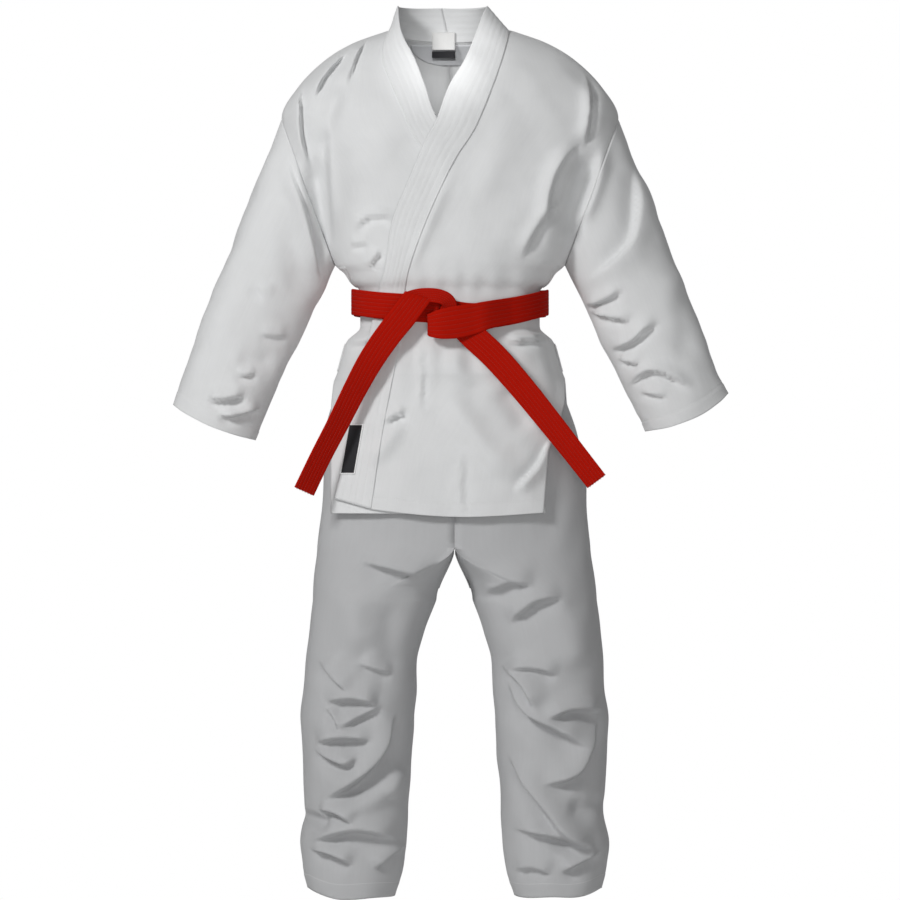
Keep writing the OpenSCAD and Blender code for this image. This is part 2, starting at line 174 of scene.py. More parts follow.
def fold_height(x, z, folds):
    """How far the folds push the cloth out. A steep fold rises slowly on the left of its path,
    drops off at it and leaves a valley on its right. A crest swells evenly on both sides, and a
    crest of negative height is a furrow."""
    height = np.zeros(x.shape)
    for kind, rise, width, knots in folds:
        path = curve_through(knots, 4.0)
        low, high = path.min(0) - 3 * width, path.max(0) + 3 * width
        near = (x > low[0]) & (x < high[0]) & (z > low[1]) & (z < high[1])
        if not near.any():
            continue
        here = np.stack([x[near], z[near]], -1)
        a, d = path[:-1], np.diff(path, axis=0)
        span = np.linalg.norm(d, axis=1)
        away = here[:, None, :] - a[None]
        t = np.clip((away * d).sum(-1) / span ** 2, 0, 1)
        off = away - t[..., None] * d
        k = np.argmin((off ** 2).sum(-1), axis=1)
        pick = np.arange(len(k))
        run = np.concatenate([[0], np.cumsum(span)])
        along = (run[k] + t[pick, k] * span[k]) / run[-1]
        d, off = d[k] / span[k][:, None], off[pick, k]
        side = d[:, 1] * off[:, 0] - d[:, 0] * off[:, 1]
        if kind == "steep":
            sharp, valley = 0.13 * width, 0.75
            body = np.where(
                side < -sharp, np.exp(-((side + sharp) / width) ** 2),
                np.where(side > sharp, -valley * np.exp(-((side - sharp) / (0.8 * width)) ** 2),
                         1 - (1 + valley) * smooth((side + sharp) / (2 * sharp))))
        else:
            body = np.exp(-(side / width) ** 2)
        beyond = np.abs(d[:, 0] * off[:, 0] + d[:, 1] * off[:, 1])
        taper = smooth(along / 0.3) * smooth((1 - along) / 0.3) * np.exp(-(beyond / width) ** 2)
        height[near] += rise * body * taper
    return height


def uneven(points, seed, longest):
    """Gentle swells in the cloth, between -1 and 1."""
    chance = np.random.default_rng(seed)
    total = np.zeros(points.shape[:-1])
    for _ in range(18):
        way = chance.normal(size=3)
        way *= 2 * math.pi / (np.linalg.norm(way) * longest * chance.uniform(0.3, 1))
        total += np.sin(points @ way + chance.uniform(0, 6.3))
    return total / 6


def outward(points, ring=False):
    """Unit normals of a grid whose rows run downwards and whose columns run anticlockwise."""
    if ring:
        wide = np.concatenate([points[:, -1:], points, points[:, :1]], axis=1)
        across = (wide[:, 2:] - wide[:, :-2]) / 2
    else:
        across = np.gradient(points, axis=1)
    normal = np.cross(np.gradient(points, axis=0), across)
    return normal / np.maximum(np.linalg.norm(normal, axis=-1, keepdims=True), 1e-9)


def grid_quads(rows, cols, ring=False):
    i, j = np.meshgrid(np.arange(rows - 1), np.arange(cols - (not ring)), indexing="ij")
    i, j = i.ravel(), j.ravel()
    corners = np.stack([i * cols + j, (i + 1) * cols + j,
                        (i + 1) * cols + (j + 1) % cols, i * cols + (j + 1) % cols], -1)
    weave = np.stack([i * (cols + 1) + j, (i + 1) * (cols + 1) + j,
                      (i + 1) * (cols + 1) + j + 1, i * (cols + 1) + j + 1], -1)
    return corners, weave


def weave_lengths(points, ring=False):
    """Distances across and down a grid, in metres, for the run of the threads."""
    wide = np.concatenate([points, points[:, :1] if ring else points[:, -1:]], axis=1)
    across = np.linalg.norm(np.diff(wide, axis=1), axis=-1).mean(0)
    down = np.linalg.norm(np.diff(wide, axis=0), axis=-1).mean(1)
    u, v = np.concatenate([[0], np.cumsum(across)]), np.concatenate([[0], np.cumsum(down)])
    return np.stack(np.meshgrid(u, v), -1).reshape(-1, 2) / 1000


def make_cloth(name, points, material, thick, ring=False, keep=None, mirrored=False):
    """A grid of points in millimetres, made a cloth of the given thickness behind its outside."""
    rows, cols = points.shape[:2]
    corners, weave = grid_quads(rows, cols, ring)
    if keep is not None:
        used = keep[corners[:, 0]]
        corners, weave = corners[used], weave[used]
    if mirrored:
        corners, weave = corners[:, ::-1], weave[:, ::-1]
    threads = weave_lengths(points, ring)
    mesh = bpy.data.meshes.new(name)
    mesh.from_pydata((points.reshape(-1, 3) / 1000).tolist(), [], corners.tolist())
    mesh.uv_layers.new(name="Weave").data.foreach_set("uv", threads[weave.ravel()].ravel())
    mesh.polygons.foreach_set("use_smooth", [True] * len(mesh.polygons))
    mesh.materials.append(material)
    piece = bpy.data.objects.new(name, mesh)
    bpy.context.collection.objects.link(piece)
    loose = np.setdiff1d(np.arange(rows * cols), corners)
    if len(loose):
        work = bmesh.new()
        work.from_mesh(mesh)
        work.verts.ensure_lookup_table()
        bmesh.ops.delete(work, geom=[work.verts[k] for k in loose], context="VERTS")
        work.to_mesh(mesh)
        work.free()
    wall = piece.modifiers.new("Cloth thickness", "SOLIDIFY")
    wall.thickness = thick / 1000
    wall.offset = -1
    bake_modifiers(piece)
    return piece


def bake_modifiers(piece):
    ready = piece.evaluated_get(bpy.context.evaluated_depsgraph_get())
    finished = bpy.data.meshes.new_from_object(ready)
    piece.modifiers.clear()
    old, piece.data = piece.data, finished
    bpy.data.meshes.remove(old)


def woven(name, colour, thread, depth, streak=0.0, sheen=0.3, roughness=0.9, shine=0.2):
    """Plain weave: threads cross over and under each other, some a little thicker than others, with
    a little painted shade in the hollows where they dip.
    """
    material = bpy.data.materials.new(name)
    material.use_nodes = True
    tree = material.node_tree
    tree.nodes.clear()
    run = add_node(tree, "ShaderNodeUVMap", uv_map="Weave").outputs["UV"]
    place = add_node(tree, "ShaderNodeTexCoord").outputs["Object"]
    count = math.pi / thread
    crossing = add_node(tree, "ShaderNodeVectorMath", {0: run, 1: (count, count, 0)},
                        operation="MULTIPLY")
    waves = add_node(tree, "ShaderNodeVectorMath", {0: crossing.outputs[0]}, operation="SINE")
    parts = add_node(tree, "ShaderNodeSeparateXYZ", {0: waves.outputs[0]})
    over = add_node(tree, "ShaderNodeMath", {0: parts.outputs[0], 1: parts.outputs[1]},
                    operation="MULTIPLY")
    slub_run = add_node(tree, "ShaderNodeMapping", {"Vector": run, "Scale": (260, 18, 1)})
    slub = add_node(tree, "ShaderNodeTexNoise",
                    {"Vector": slub_run.outputs[0], "Scale": 1.0, "Detail": 3.0})
    mottle = add_node(tree, "ShaderNodeTexNoise", {"Vector": place, "Scale": 7.0, "Detail": 4.0})
    fuzz = add_node(tree, "ShaderNodeTexNoise", {"Vector": place, "Scale": 900.0, "Detail": 2.0})
    height = add_node(tree, "ShaderNodeMath",
                      {0: fuzz.outputs[0], 1: 0.8, 2: over.outputs[0]}, operation="MULTIPLY_ADD")
    height = add_node(tree, "ShaderNodeMath",
                      {0: slub.outputs[0], 1: streak, 2: height.outputs[0]},
                      operation="MULTIPLY_ADD")
    bump = add_node(tree, "ShaderNodeBump",
                    {"Height": height.outputs[0], "Strength": 0.5, "Distance": depth})
    blend = add_node(tree, "ShaderNodeMath",
                     {0: slub.outputs[0], 1: 0.5, 2: mottle.outputs[0]}, operation="MULTIPLY_ADD")
    tint = add_node(tree, "ShaderNodeMapRange",
                    {"Value": blend.outputs[0], "From Min": 0.45, "From Max": 1.05,
                     "To Min": 0.93, "To Max": 1.0})
    # Painted shade: the colour is a little darker in the weave's hollows, where the threads dip
    # under each other.
    valley = add_node(tree, "ShaderNodeMapRange",
                      {"Value": over.outputs[0], "From Min": -1.0, "From Max": 1.0,
                       "To Min": 0.95, "To Max": 1.0})
    shade = add_node(tree, "ShaderNodeMath", {0: tint.outputs[0], 1: valley.outputs[0]},
                     operation="MULTIPLY")
    tone = add_node(tree, "ShaderNodeVectorMath",
                    {0: colour, "Scale": shade.outputs[0]}, operation="SCALE")
    matt = add_node(tree, "ShaderNodeMapRange",
                    {"Value": mottle.outputs[0], "From Min": 0.3, "From Max": 0.7,
                     "To Min": roughness - 0.05, "To Max": roughness + 0.05})
    shader = add_node(tree, "ShaderNodeBsdfPrincipled",
                      {"Base Color": tone.outputs[0], "Roughness": matt.outputs[0],
                       "Normal": bump.outputs[0], "Specular IOR Level": shine,
                       "Sheen Weight": sheen, "Sheen Roughness": 0.5})
    add_node(tree, "ShaderNodeOutputMaterial", {"Surface": shader.outputs[0]})
    return material


def thread_finish(name, colour):
    """Sewing thread: two plies that wind round each other, with painted shade in diagonal bands
    along the grooves between them.
    """
    material = bpy.data.materials.new(name)
    material.use_nodes = True
    tree = material.node_tree
    shader = tree.nodes["Principled BSDF"]
    place = add_node(tree, "ShaderNodeTexCoord").outputs["Object"]
    # Painted shade: darker diagonal bands stand for the shaded grooves between the plies.
    ply_groove_shade = add_node(tree, "ShaderNodeTexWave", {"Vector": place, "Scale": 900.0},
                     bands_direction="DIAGONAL")
    tone = add_node(tree, "ShaderNodeMapRange", {"Value": ply_groove_shade.outputs["Fac"],
                                                "To Min": 0.8, "To Max": 1.0})
    dyed = add_node(tree, "ShaderNodeVectorMath", {0: colour, "Scale": tone.outputs[0]},
                    operation="SCALE")
    tree.links.new(dyed.outputs[0], shader.inputs["Base Color"])
    shader.inputs["Roughness"].default_value = 0.7
    return material


# Stitching laid along seam lines, one short thread at each step, upright on the cloth.
stitching = bpy.data.node_groups.new("Stitching", "GeometryNodeTree")
stitching.interface.new_socket("Seam lines", in_out="INPUT", socket_type="NodeSocketGeometry")
stitch_sockets = {}
for stitch_input in ("Pitch", "Stitch length", "Thread width"):
    socket = stitching.interface.new_socket(stitch_input, in_out="INPUT",
                                            socket_type="NodeSocketFloat")
    stitch_sockets[stitch_input] = socket.identifier
socket = stitching.interface.new_socket("Thread", in_out="INPUT", socket_type="NodeSocketMaterial")
stitch_sockets["Thread"] = socket.identifier
stitching.interface.new_socket("Stitches", in_out="OUTPUT", socket_type="NodeSocketGeometry")
given = add_node(stitching, "NodeGroupInput")
seam = add_node(stitching, "GeometryNodeMeshToCurve", {"Mesh": given.outputs["Seam lines"]})
spaced = add_node(stitching, "GeometryNodeResampleCurve", mode="LENGTH",
                  inputs={"Curve": seam.outputs[0], "Length": given.outputs["Pitch"]})
bead = add_node(stitching, "GeometryNodeMeshIcoSphere", {"Radius": 0.5, "Subdivisions": 1})
along = add_node(stitching, "FunctionNodeAlignRotationToVector", axis="X",
                 inputs={"Vector": add_node(stitching, "GeometryNodeInputTangent").outputs[0]})
facing = add_node(stitching, "GeometryNodeInputNamedAttribute", {"Name": "facing"},
                  data_type="FLOAT_VECTOR")
upright = add_node(stitching, "FunctionNodeAlignRotationToVector", axis="Z", pivot_axis="X",
                   inputs={"Rotation": along.outputs[0], "Vector": facing.outputs[0]})
thread_size = add_node(stitching, "ShaderNodeCombineXYZ",
                       {0: given.outputs["Stitch length"], 1: given.outputs["Thread width"],
                        2: given.outputs["Thread width"]})
laid = add_node(stitching, "GeometryNodeInstanceOnPoints",
                {"Points": spaced.outputs[0], "Instance": bead.outputs["Mesh"],
                 "Rotation": upright.outputs[0], "Scale": thread_size.outputs[0]})
real = add_node(stitching, "GeometryNodeRealizeInstances", {0: laid.outputs[0]})
dyed = add_node(stitching, "GeometryNodeSetMaterial",
                {"Geometry": real.outputs[0], "Material": given.outputs["Thread"]})
add_node(stitching, "NodeGroupOutput", {"Stitches": dyed.outputs[0]})


def attach(piece, held_by):
    """Fixes a piece to a body. Given a joint instead (two bodies, and the bend's two ends), it only
    bakes the piece's placement into its mesh.
    """
    if isinstance(held_by, str):
        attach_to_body(piece, held_by)
    else:
        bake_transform(piece)


def fit(piece, nodes, held_by, slot, **cut):
    """Puts a sheet in the place of its plain solids."""
    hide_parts(*nodes)
    attach(piece, held_by)


def closed_line(points, ways, k):
    """A ring of a tube as a seam line that ends where it starts."""
    return np.vstack([points[k], points[k][:1]]), np.vstack([ways[k], ways[k][:1]])


def nearest(values, value):
    return int(np.argmin(np.abs(values - value)))


def sew(name, lines, held_by, thread, pitch=3.4, length=2.6, width=0.7):
    """Stitches along lines, each given as its points in millimetres and the way the cloth faces."""
    points, edges, ways = [], [], []
    for line, way in lines:
        start = sum(len(p) for p in points)
        points.append(line + 0.12 * way)
        ways.append(way)
        edges += [(start + k, start + k + 1) for k in range(len(line) - 1)]
    mesh = bpy.data.meshes.new(name)
    mesh.from_pydata((np.vstack(points) / 1000).tolist(), edges, [])
    mesh.attributes.new("facing", "FLOAT_VECTOR", "POINT").data.foreach_set(
        "vector", np.vstack(ways).ravel())
    mesh.materials.append(thread)
    piece = bpy.data.objects.new(name, mesh)
    bpy.context.collection.objects.link(piece)
    needle = piece.modifiers.new("Stitching", "NODES")
    needle.node_group = stitching
    for setting, size in (("Pitch", pitch), ("Stitch length", length), ("Thread width", width)):
        needle[stitch_sockets[setting]] = size / 1000
    needle[stitch_sockets["Thread"]] = thread
    bake_modifiers(piece)
    attach(piece, held_by)


# Outlines in millimetres: height, half width and half depth, and for a leg its middle first.
seat_outline = [
    (-402, 130, 95), (-440, 132, 97), (-470, 138, 99), (-505, 152, 102), (-527, 161, 104),
    (-560, 175, 106), (-620, 194, 108), (-680, 202, 109), (-745, 206, 110), (-795, 212, 108),
]
leg_outline = [
    (-880, 124, 96, 98), (-930, 136, 90, 95), (-975, 144, 86, 92), (-1020, 146, 87, 90),
    (-1066, 151, 88, 88), (-1113, 151, 85, 86), (-1160, 152, 82, 84), (-1206, 152, 80, 82),
    (-1252, 156, 82, 80), (-1300, 158, 77, 78), (-1338, 160, 67, 73),
]
seat_w, seat_d = through(seat_outline, 1), through(seat_outline, 2)
leg_mid, leg_w, leg_d = (through(leg_outline, k) for k in (1, 2, 3))
crotch_z, thigh_z, leg_hem_z = -795, -880, -1338
hip_start_z, hip_end_z = -0.8, -0.97


def trouser_surface(z, turn):
    upper = np.maximum(z, crotch_z)
    seat = oval(seat_w(upper), seat_d(upper), turn, 2.4)
    lower = np.minimum(z, thigh_z)
    leg = oval(leg_w(lower), leg_d(lower), turn, 2.2)
    share = smooth((crotch_z - z) / (crotch_z - thigh_z))
    seat_x = np.where(turn > 180, 0.3, np.maximum(0, seat[0]))
    x = (1 - share) * seat_x + share * (leg_mid(lower) + leg[0])
    return x, (1 - share) * seat[1] + share * leg[1]


def hip_hinge(side):
    x = 0.14 if side == "left" else -0.14
    return ("trousers", f"{side}_leg"), (x, 0, hip_start_z), (x, 0, hip_end_z)


# Every fold's kind, rise and width, and the knots of its path.
trouser_front_folds = [
    ("steep", 7, 26, [(-147, -820), (-109, -829), (-31, -850)]),
    ("steep", 6, 22, [(-210, -970), (-185, -1000), (-160, -1020)]),
    ("steep", 8, 24, [(-200, -1036), (-160, -1030), (-115, -1038)]),
    ("steep", 6, 18, [(-175, -1074), (-150, -1060), (-110, -1040)]),
    ("steep", 5, 9, [(-197, -1041), (-184, -1060), (-172, -1080)]),
    ("steep", 8, 20, [(-215, -1100), (-175, -1090), (-125, -1092)]),
    ("steep", 7, 20, [(-218, -1108), (-170, -1130), (-145, -1112)]),
    ("steep", 11, 26, [(-205, -1190), (-147, -1154), (-109, -1113), (-88, -1050)]),
    ("crest", 6, 16, [(-196, -1206), (-116, -1178), (-76, -1124)]),
    ("steep", 7, 18, [(-212, -1200), (-180, -1206), (-155, -1222)]),
    ("crest", -9, 9, [(-245, -1212), (-214, -1217), (-185, -1226)]),
    ("steep", 9, 22, [(-222, -1252), (-155, -1232), (-85, -1247)]),
    ("steep", 7, 18, [(-225, -1264), (-190, -1270), (-155, -1286)]),
    ("steep", 6, 16, [(-125, -1294), (-100, -1274), (-74, -1258)]),
    ("crest", 4, 12, [(-80, -1136), (-92, -1162), (-103, -1186)]),
    ("steep", 4, 16, [(-150, -975), (-120, -985), (-92, -992)]),
    ("crest", 5, 26, [(-160, -860), (-150, -920), (-130, -960)]),
    ("crest", -4, 20, [(-90, -870), (-100, -940), (-95, -1000)]),
    ("steep", 6, 24, [(45, -873), (85, -853), (122, -857)]),
    ("steep", 6, 22, [(82, -917), (124, -882), (168, -873)]),
    ("steep", 5, 20, [(82, -985), (120, -983), (162, -994)]),
    ("steep", 8, 20, [(70, -978), (105, -1010), (126, -1050)]),
    ("steep", 10, 26, [(75, -1000), (109, -1052), (155, -1078), (206, -1110)]),
    ("steep", 8, 20, [(140, -1062), (181, -1046), (230, -1050)]),
    ("steep", 9, 20, [(132, -1164), (186, -1147), (207, -1108), (222, -1062)]),
    ("steep", 10, 24, [(78, -1112), (109, -1163), (147, -1215), (174, -1246), (215, -1263)]),
    ("steep", 8, 20, [(88, -1230), (155, -1243), (214, -1260)]),
    ("steep", 7, 18, [(160, -1297), (190, -1284), (226, -1270)]),
    ("crest", 5, 26, [(190, -880), (180, -930), (190, -990)]),
    ("crest", -5, 14, [(235, -1180), (205, -1200), (170, -1190)]),
    ("steep", 5, 18, [(90, -1296), (120, -1290), (150, -1300)]),
]
trouser_back_folds = [
    ("steep", 7, 24, [(-205, -1000), (-150, -985), (-95, -1000)]),
    ("steep", 8, 22, [(-215, -1060), (-160, -1040), (-85, -1062)]),
    ("steep", 7, 22, [(-210, -1110), (-150, -1125), (-85, -1100)]),
    ("steep", 8, 24, [(-220, -1170), (-165, -1150), (-90, -1180)]),
    ("steep", 7, 20, [(-220, -1225), (-150, -1240), (-85, -1215)]),
    ("steep", 6, 20, [(-215, -1280), (-160, -1270), (-95, -1290)]),
    ("steep", 5, 26, [(-150, -840), (-100, -860), (-45, -850)]),
    ("crest", 5, 22, [(-60, -930), (-110, -900), (-170, -880)]),
    ("steep", 7, 24, [(85, -1005), (150, -990), (205, -1005)]),
    ("steep", 8, 22, [(80, -1050), (150, -1065), (215, -1045)]),
    ("steep", 7, 22, [(85, -1110), (145, -1095), (215, -1120)]),
    ("steep", 8, 24, [(85, -1170), (155, -1185), (220, -1160)]),
    ("steep", 7, 20, [(85, -1235), (150, -1220), (222, -1240)]),
    ("steep", 6, 20, [(95, -1290), (150, -1275), (215, -1285)]),
    ("steep", 5, 26, [(45, -850), (100, -865), (150, -845)]),
    ("crest", 5, 22, [(60, -935), (110, -905), (170, -890)]),
]


def fold_all_round(points, normals, front_folds, back_folds):
    """The front's folds and the back's, which pass into each other at the sides."""
    front = smooth(0.5 - normals[..., 1] / 0.6)
    return (front * fold_height(points[..., 0], points[..., 2], front_folds)
            + (1 - front) * fold_height(points[..., 0], points[..., 2], back_folds))


# The trousers' cotton is greyer than the jacket's: partly a different cloth, partly painted shade
# for the dimmer light that falls on the trousers.
trouser_cotton = woven("Trouser cotton", (0.52, 0.524, 0.532), 0.00055, 0.00012, streak=0.6,
                       sheen=0.12)
white_thread = thread_finish("White thread", (0.8, 0.8, 0.8))
trouser_rows = np.concatenate([np.arange(-404, -796, -7.0), np.arange(-797, -1336, -2.8),
                               [leg_hem_z]])
outer_cols = 81
outer_turns = 90 - 90 * (np.sign(np.cos(np.linspace(0, np.pi, outer_cols)))
                         * np.abs(np.linspace(1, -1, outer_cols)) ** 0.94)
trouser_turns = np.concatenate([outer_turns, np.linspace(180, 360, 79)[1:-1]])
for side, sign in (("left", 1), ("right", -1)):
    z, turn = np.meshgrid(trouser_rows, trouser_turns, indexing="ij")
    x, y = trouser_surface(z, turn)
    base = np.stack([x, y, z], -1)
    normals = outward(base, ring=True)
    normals[..., 2] = 0
    base[..., 0] *= sign
    normals[..., 0] *= sign
    settle = smooth((-812 - z) / 60)
    push = fold_all_round(base, normals, trouser_front_folds, trouser_back_folds)
    push *= 0.8 + 0.9 * np.abs(normals[..., 1])
    push += uneven(base, 3, 150) * 1.6 * smooth((-470 - z) / 60)
    push += 0.7 * smooth((leg_hem_z + 24 - z) / 4)
    inner = (turn > 180) & (z > crotch_z - 60)
    push *= np.where(inner, settle, 1)
    cloth = base + push[..., None] * normals
    cloth[..., 2] += uneven(base, 4, 220) * 2.0 * smooth((-1250 - z) / 80)
    cloth[..., 0] = np.where((turn % 180 == 0) & (z > crotch_z - 2), 0, cloth[..., 0])
    cloth[..., 0] = sign * np.maximum(sign * cloth[..., 0], 0.0)
    # The outer corners of the hems are drawn up a little, and the legs hang slightly to one side.
    outside = np.clip((sign * cloth[..., 0] - 165) / 60, 0, 1) ** 2
    cloth[..., 2] += 13 * outside * smooth((-1240 - z) / 98)
    cloth[..., 0] += 7 * smooth((-560 - z) / 160)
    rows, cols = cloth.shape[:2]
    keep = np.ones((rows, cols), bool)
    keep[:, outer_cols - 1:] = (trouser_rows <= crotch_z)[:, None]
    half = make_cloth(f"{side}_trouser_half", cloth, trouser_cotton, 1.2, ring=True,
                      keep=keep.ravel(), mirrored=sign < 0)
    fit(half, [f"{side}_seat", f"{side}_leg"], hip_hinge(side), "trouser_cotton", flat=(0.6, 0.95),
        held="hung", rests_on=["waistband"], area=0.5)
    facing_out = outward(cloth, ring=True) * sign
    inwards = (facing_out * normals).sum(-1, keepdims=True) < 0
    facing_out = np.where(inwards, -facing_out, facing_out)
    hem_line = closed_line(cloth, facing_out, nearest(trouser_rows, leg_hem_z + 22))
    sew(f"{side}_trouser_hem_stitches", [hem_line], f"{side}_leg", white_thread)


# The jacket's body: four panels of bleached cotton from the shoulders to the hem. The left front is
# wrapped over the right one, and the sides are sewn from the armhole down to the slits.
body_outline = [
    (0, 92, 42), (-20, 148, 60), (-45, 190, 76), (-90, 235, 94), (-136, 261, 104),
    (-362, 178, 112), (-375, 162, 112), (-390, 150, 110), (-402, 137, 106), (-458, 137, 106),
    (-480, 158, 108), (-505, 166, 112), (-527, 172, 113), (-560, 187, 114), (-620, 204, 116),
    (-750, 218, 118),
]
outline_w, outline_d = through(body_outline, 1), through(body_outline, 2)
arm_top, arm_pit = np.array([261.0, -136.0]), np.array([178.0, -362.0])
slit_z, hem_z = -527, -745
armhole_depth = 62

# The band down each front, as the sewn edge's x and z and the free edge's x and z. The first three
# rows stand free round the neck, so they give how far back the free edge lies too.
left_band = [
    (91, -5, 57, 38, -22), (88, -22, 50, 22, -42), (80, -52, 38, -12, -60), (68, -90, 22, -56),
    (54, -128, -2, -98), (36, -165, -20, -146), (10, -202, -42, -186), (-14, -250, -64, -238),
    (-39, -307, -88, -298), (-60, -365, -98, -360), (-68, -400, -108, -400),
    (-70, -430, -115, -430), (-71, -458, -121, -458), (-72, -470, -124, -470),
    (-88, -545, -142, -550), (-104, -630, -158, -640), (-120, -738, -177, -722),
]
right_band = [
    (-93, -5, -80, 38, -22), (-101, -22, -78, 14, -42), (-104, -52, -72, -12, -60),
    (-90, -90, -54, -50), (-74, -128, -38, -92), (-58, -165, -22, -138), (-36, -202, 14, -186),
    (-10, -250, 38, -238), (18, -307, 62, -298), (42, -365, 86, -360), (52, -400, 98, -400),
    (54, -430, 102, -430), (55, -458, 106, -458), (56, -470, 108, -470),
    (68, -545, 118, -550), (80, -630, 130, -640), (94, -744, 146, -744),
]
jacket_cotton = woven("Jacket cotton", (0.79, 0.798, 0.802), 0.0007, 0.00018, streak=1.6,
                      sheen=0.12)
lining_cotton = woven("Lining cotton", (0.70, 0.71, 0.73), 0.0007, 0.00018, streak=0.8)


def along_seam(z):
    return np.clip((z - arm_top[1]) / (arm_pit[1] - arm_top[1]), 0, 1)


def seam_x(z):
    return arm_top[0] + (arm_pit[0] - arm_top[0]) * along_seam(z)


def seam_depth(z, offset):
    """How far the armhole's round edge stands off the middle plane."""
    return (armhole_depth + offset) * np.sqrt(np.maximum(0, 1 - (2 * along_seam(z) - 1) ** 2))


def depth_at(z, back):
    return outline_d(z) * np.where(back, 0.95, 1)


def width_at(z, offset, back):
    """The oval's half width at a height, such that the armhole's edge lies on it."""
    q = along_seam(z)
    inside = (q > 0) & (q < 1)
    ratio = np.clip(seam_depth(z, offset) / (depth_at(z, back) + offset), 0, 0.97)
    beyond = np.maximum(smooth((z - arm_top[1]) / 40), smooth((arm_pit[1] - z) / 30))
    return np.where(inside, seam_x(z) / (1 - ratio ** 2.4) ** (1 / 2.4),
                    outline_w(z) + offset * beyond)


def turn_at(x, width):
    return np.sign(x) * np.degrees(np.arcsin(np.minimum(1, np.abs(x) / width) ** 1.2))


# Where the skirt's side edges hang: height and distance from the middle.
outer_skirt_edge = [(-527, 176), (-540, 177), (-575, 174), (-610, 165), (-650, 150), (-745, 143)]
inner_skirt_edge = [(-527, 176), (-545, 180), (-580, 183), (-745, 183)]


def side_turn(z, offset, back, skirt_edge=inner_skirt_edge):
    width = width_at(z, offset, back)
    q = along_seam(z)
    skirt = np.interp(-z, [-p[0] for p in skirt_edge], [p[1] for p in skirt_edge])
    return np.where((q > 0) & (q < 1), turn_at(seam_x(z), width),
                    np.where(z < slit_z, turn_at(skirt, width), 90.0))


def shoulder_rise(z):
    """How much of an offset goes upwards, which it does on the shoulders."""
    return np.interp(z, (-200, -136, 0), (0, 0.7, 1))


def body_point(z, turn, offset, back=False):
    x, y = oval(width_at(z, offset, back), depth_at(z, back) + offset, turn, 2.4)
    return np.stack([x, y, z + offset * shoulder_rise(z)], -1)


def chest_point(x, z, offset):
    return body_point(z, turn_at(x, width_at(z, offset, False)), offset)


def wrap_lift(z, share):
    """How far the left front stands off the right one and its band."""
    near_band = np.maximum(smooth((slit_z - z) / 53), smooth((0.72 - share) / 0.19))
    return 5 * smooth((-40 - z) / 80) * near_band


jacket_front_folds = [
    ("steep", 5, 12, [(-160, -92), (-150, -64), (-140, -36), (-124, -8)]),
    ("steep", 7, 13, [(-210, -112), (-196, -80), (-178, -56), (-157, -36)]),
    ("steep", 7, 13, [(-214, -218), (-226, -172), (-230, -128), (-229, -84)]),
    ("crest", 5, 12, [(-168, -84), (-186, -142), (-203, -182)]),
    ("steep", 8, 28, [(-184, -135), (-187, -200), (-184, -270), (-180, -335)]),
    ("crest", -18, 16, [(-212, -185), (-203, -250), (-193, -310), (-184, -356)]),
    ("crest", 9, 11, [(-252, -196), (-237, -235), (-217, -295), (-203, -374)]),
    ("steep", 4.5, 12, [(-146, -314), (-129, -297), (-109, -291), (-84, -298)]),
    ("steep", 4, 9, [(-154, -332), (-140, -335), (-125, -333)]),
    ("steep", 5, 10, [(-126, -372), (-116, -358), (-104, -342)]),
    ("crest", 3, 26, [(-60, -120), (-110, -190), (-140, -260)]),
    ("steep", 9, 12, [(208, -184), (215, -140), (217, -102), (210, -66)]),
    ("crest", 4, 10, [(229, -92), (229, -130), (223, -172)]),
    ("steep", 10, 16, [(146, -306), (157, -248), (172, -211), (200, -178)]),
    ("crest", -18, 15, [(216, -186), (206, -235), (191, -285), (178, -338)]),
    ("crest", 9, 11, [(238, -168), (232, -217), (214, -271), (186, -316)]),
    ("steep", 7, 14, [(108, -358), (128, -320), (150, -288), (182, -270)]),
    ("crest", 3.5, 8, [(14, -210), (-8, -250), (-30, -300), (-52, -352), (-64, -392)]),
    ("crest", 3, 24, [(90, -120), (70, -200), (40, -280)]),
    ("steep", 6, 12, [(-101, -608), (-84, -597), (-64, -589)]),
    ("crest", 5, 14, [(-70, -600), (-99, -640), (-128, -674)]),
    ("crest", 4, 14, [(-12, -500), (14, -528), (40, -556)]),
    ("crest", 7, 20, [(-22, -540), (20, -600), (60, -650), (90, -668), (126, -664)]),
    ("steep", 8, 13, [(152, -630), (132, -672), (94, -712)]),
    ("crest", -7, 20, [(78, -546), (100, -586), (122, -625)]),
    ("steep", 3, 8, [(-43, -592), (-41, -540), (-42, -480)]),
    ("steep", 1.5, 12, [(22, -756), (20, -700), (24, -645)]),
    ("steep", 8, 10, [(84, -484), (122, -480), (166, -468)]),
    ("steep", 5, 10, [(-166, -476), (-140, -484), (-112, -478)]),
    ("crest", 4, 20, [(150, -500), (146, -560), (140, -620)]),
    ("crest", 3, 18, [(-130, -500), (-126, -545), (-132, -590)]),
]
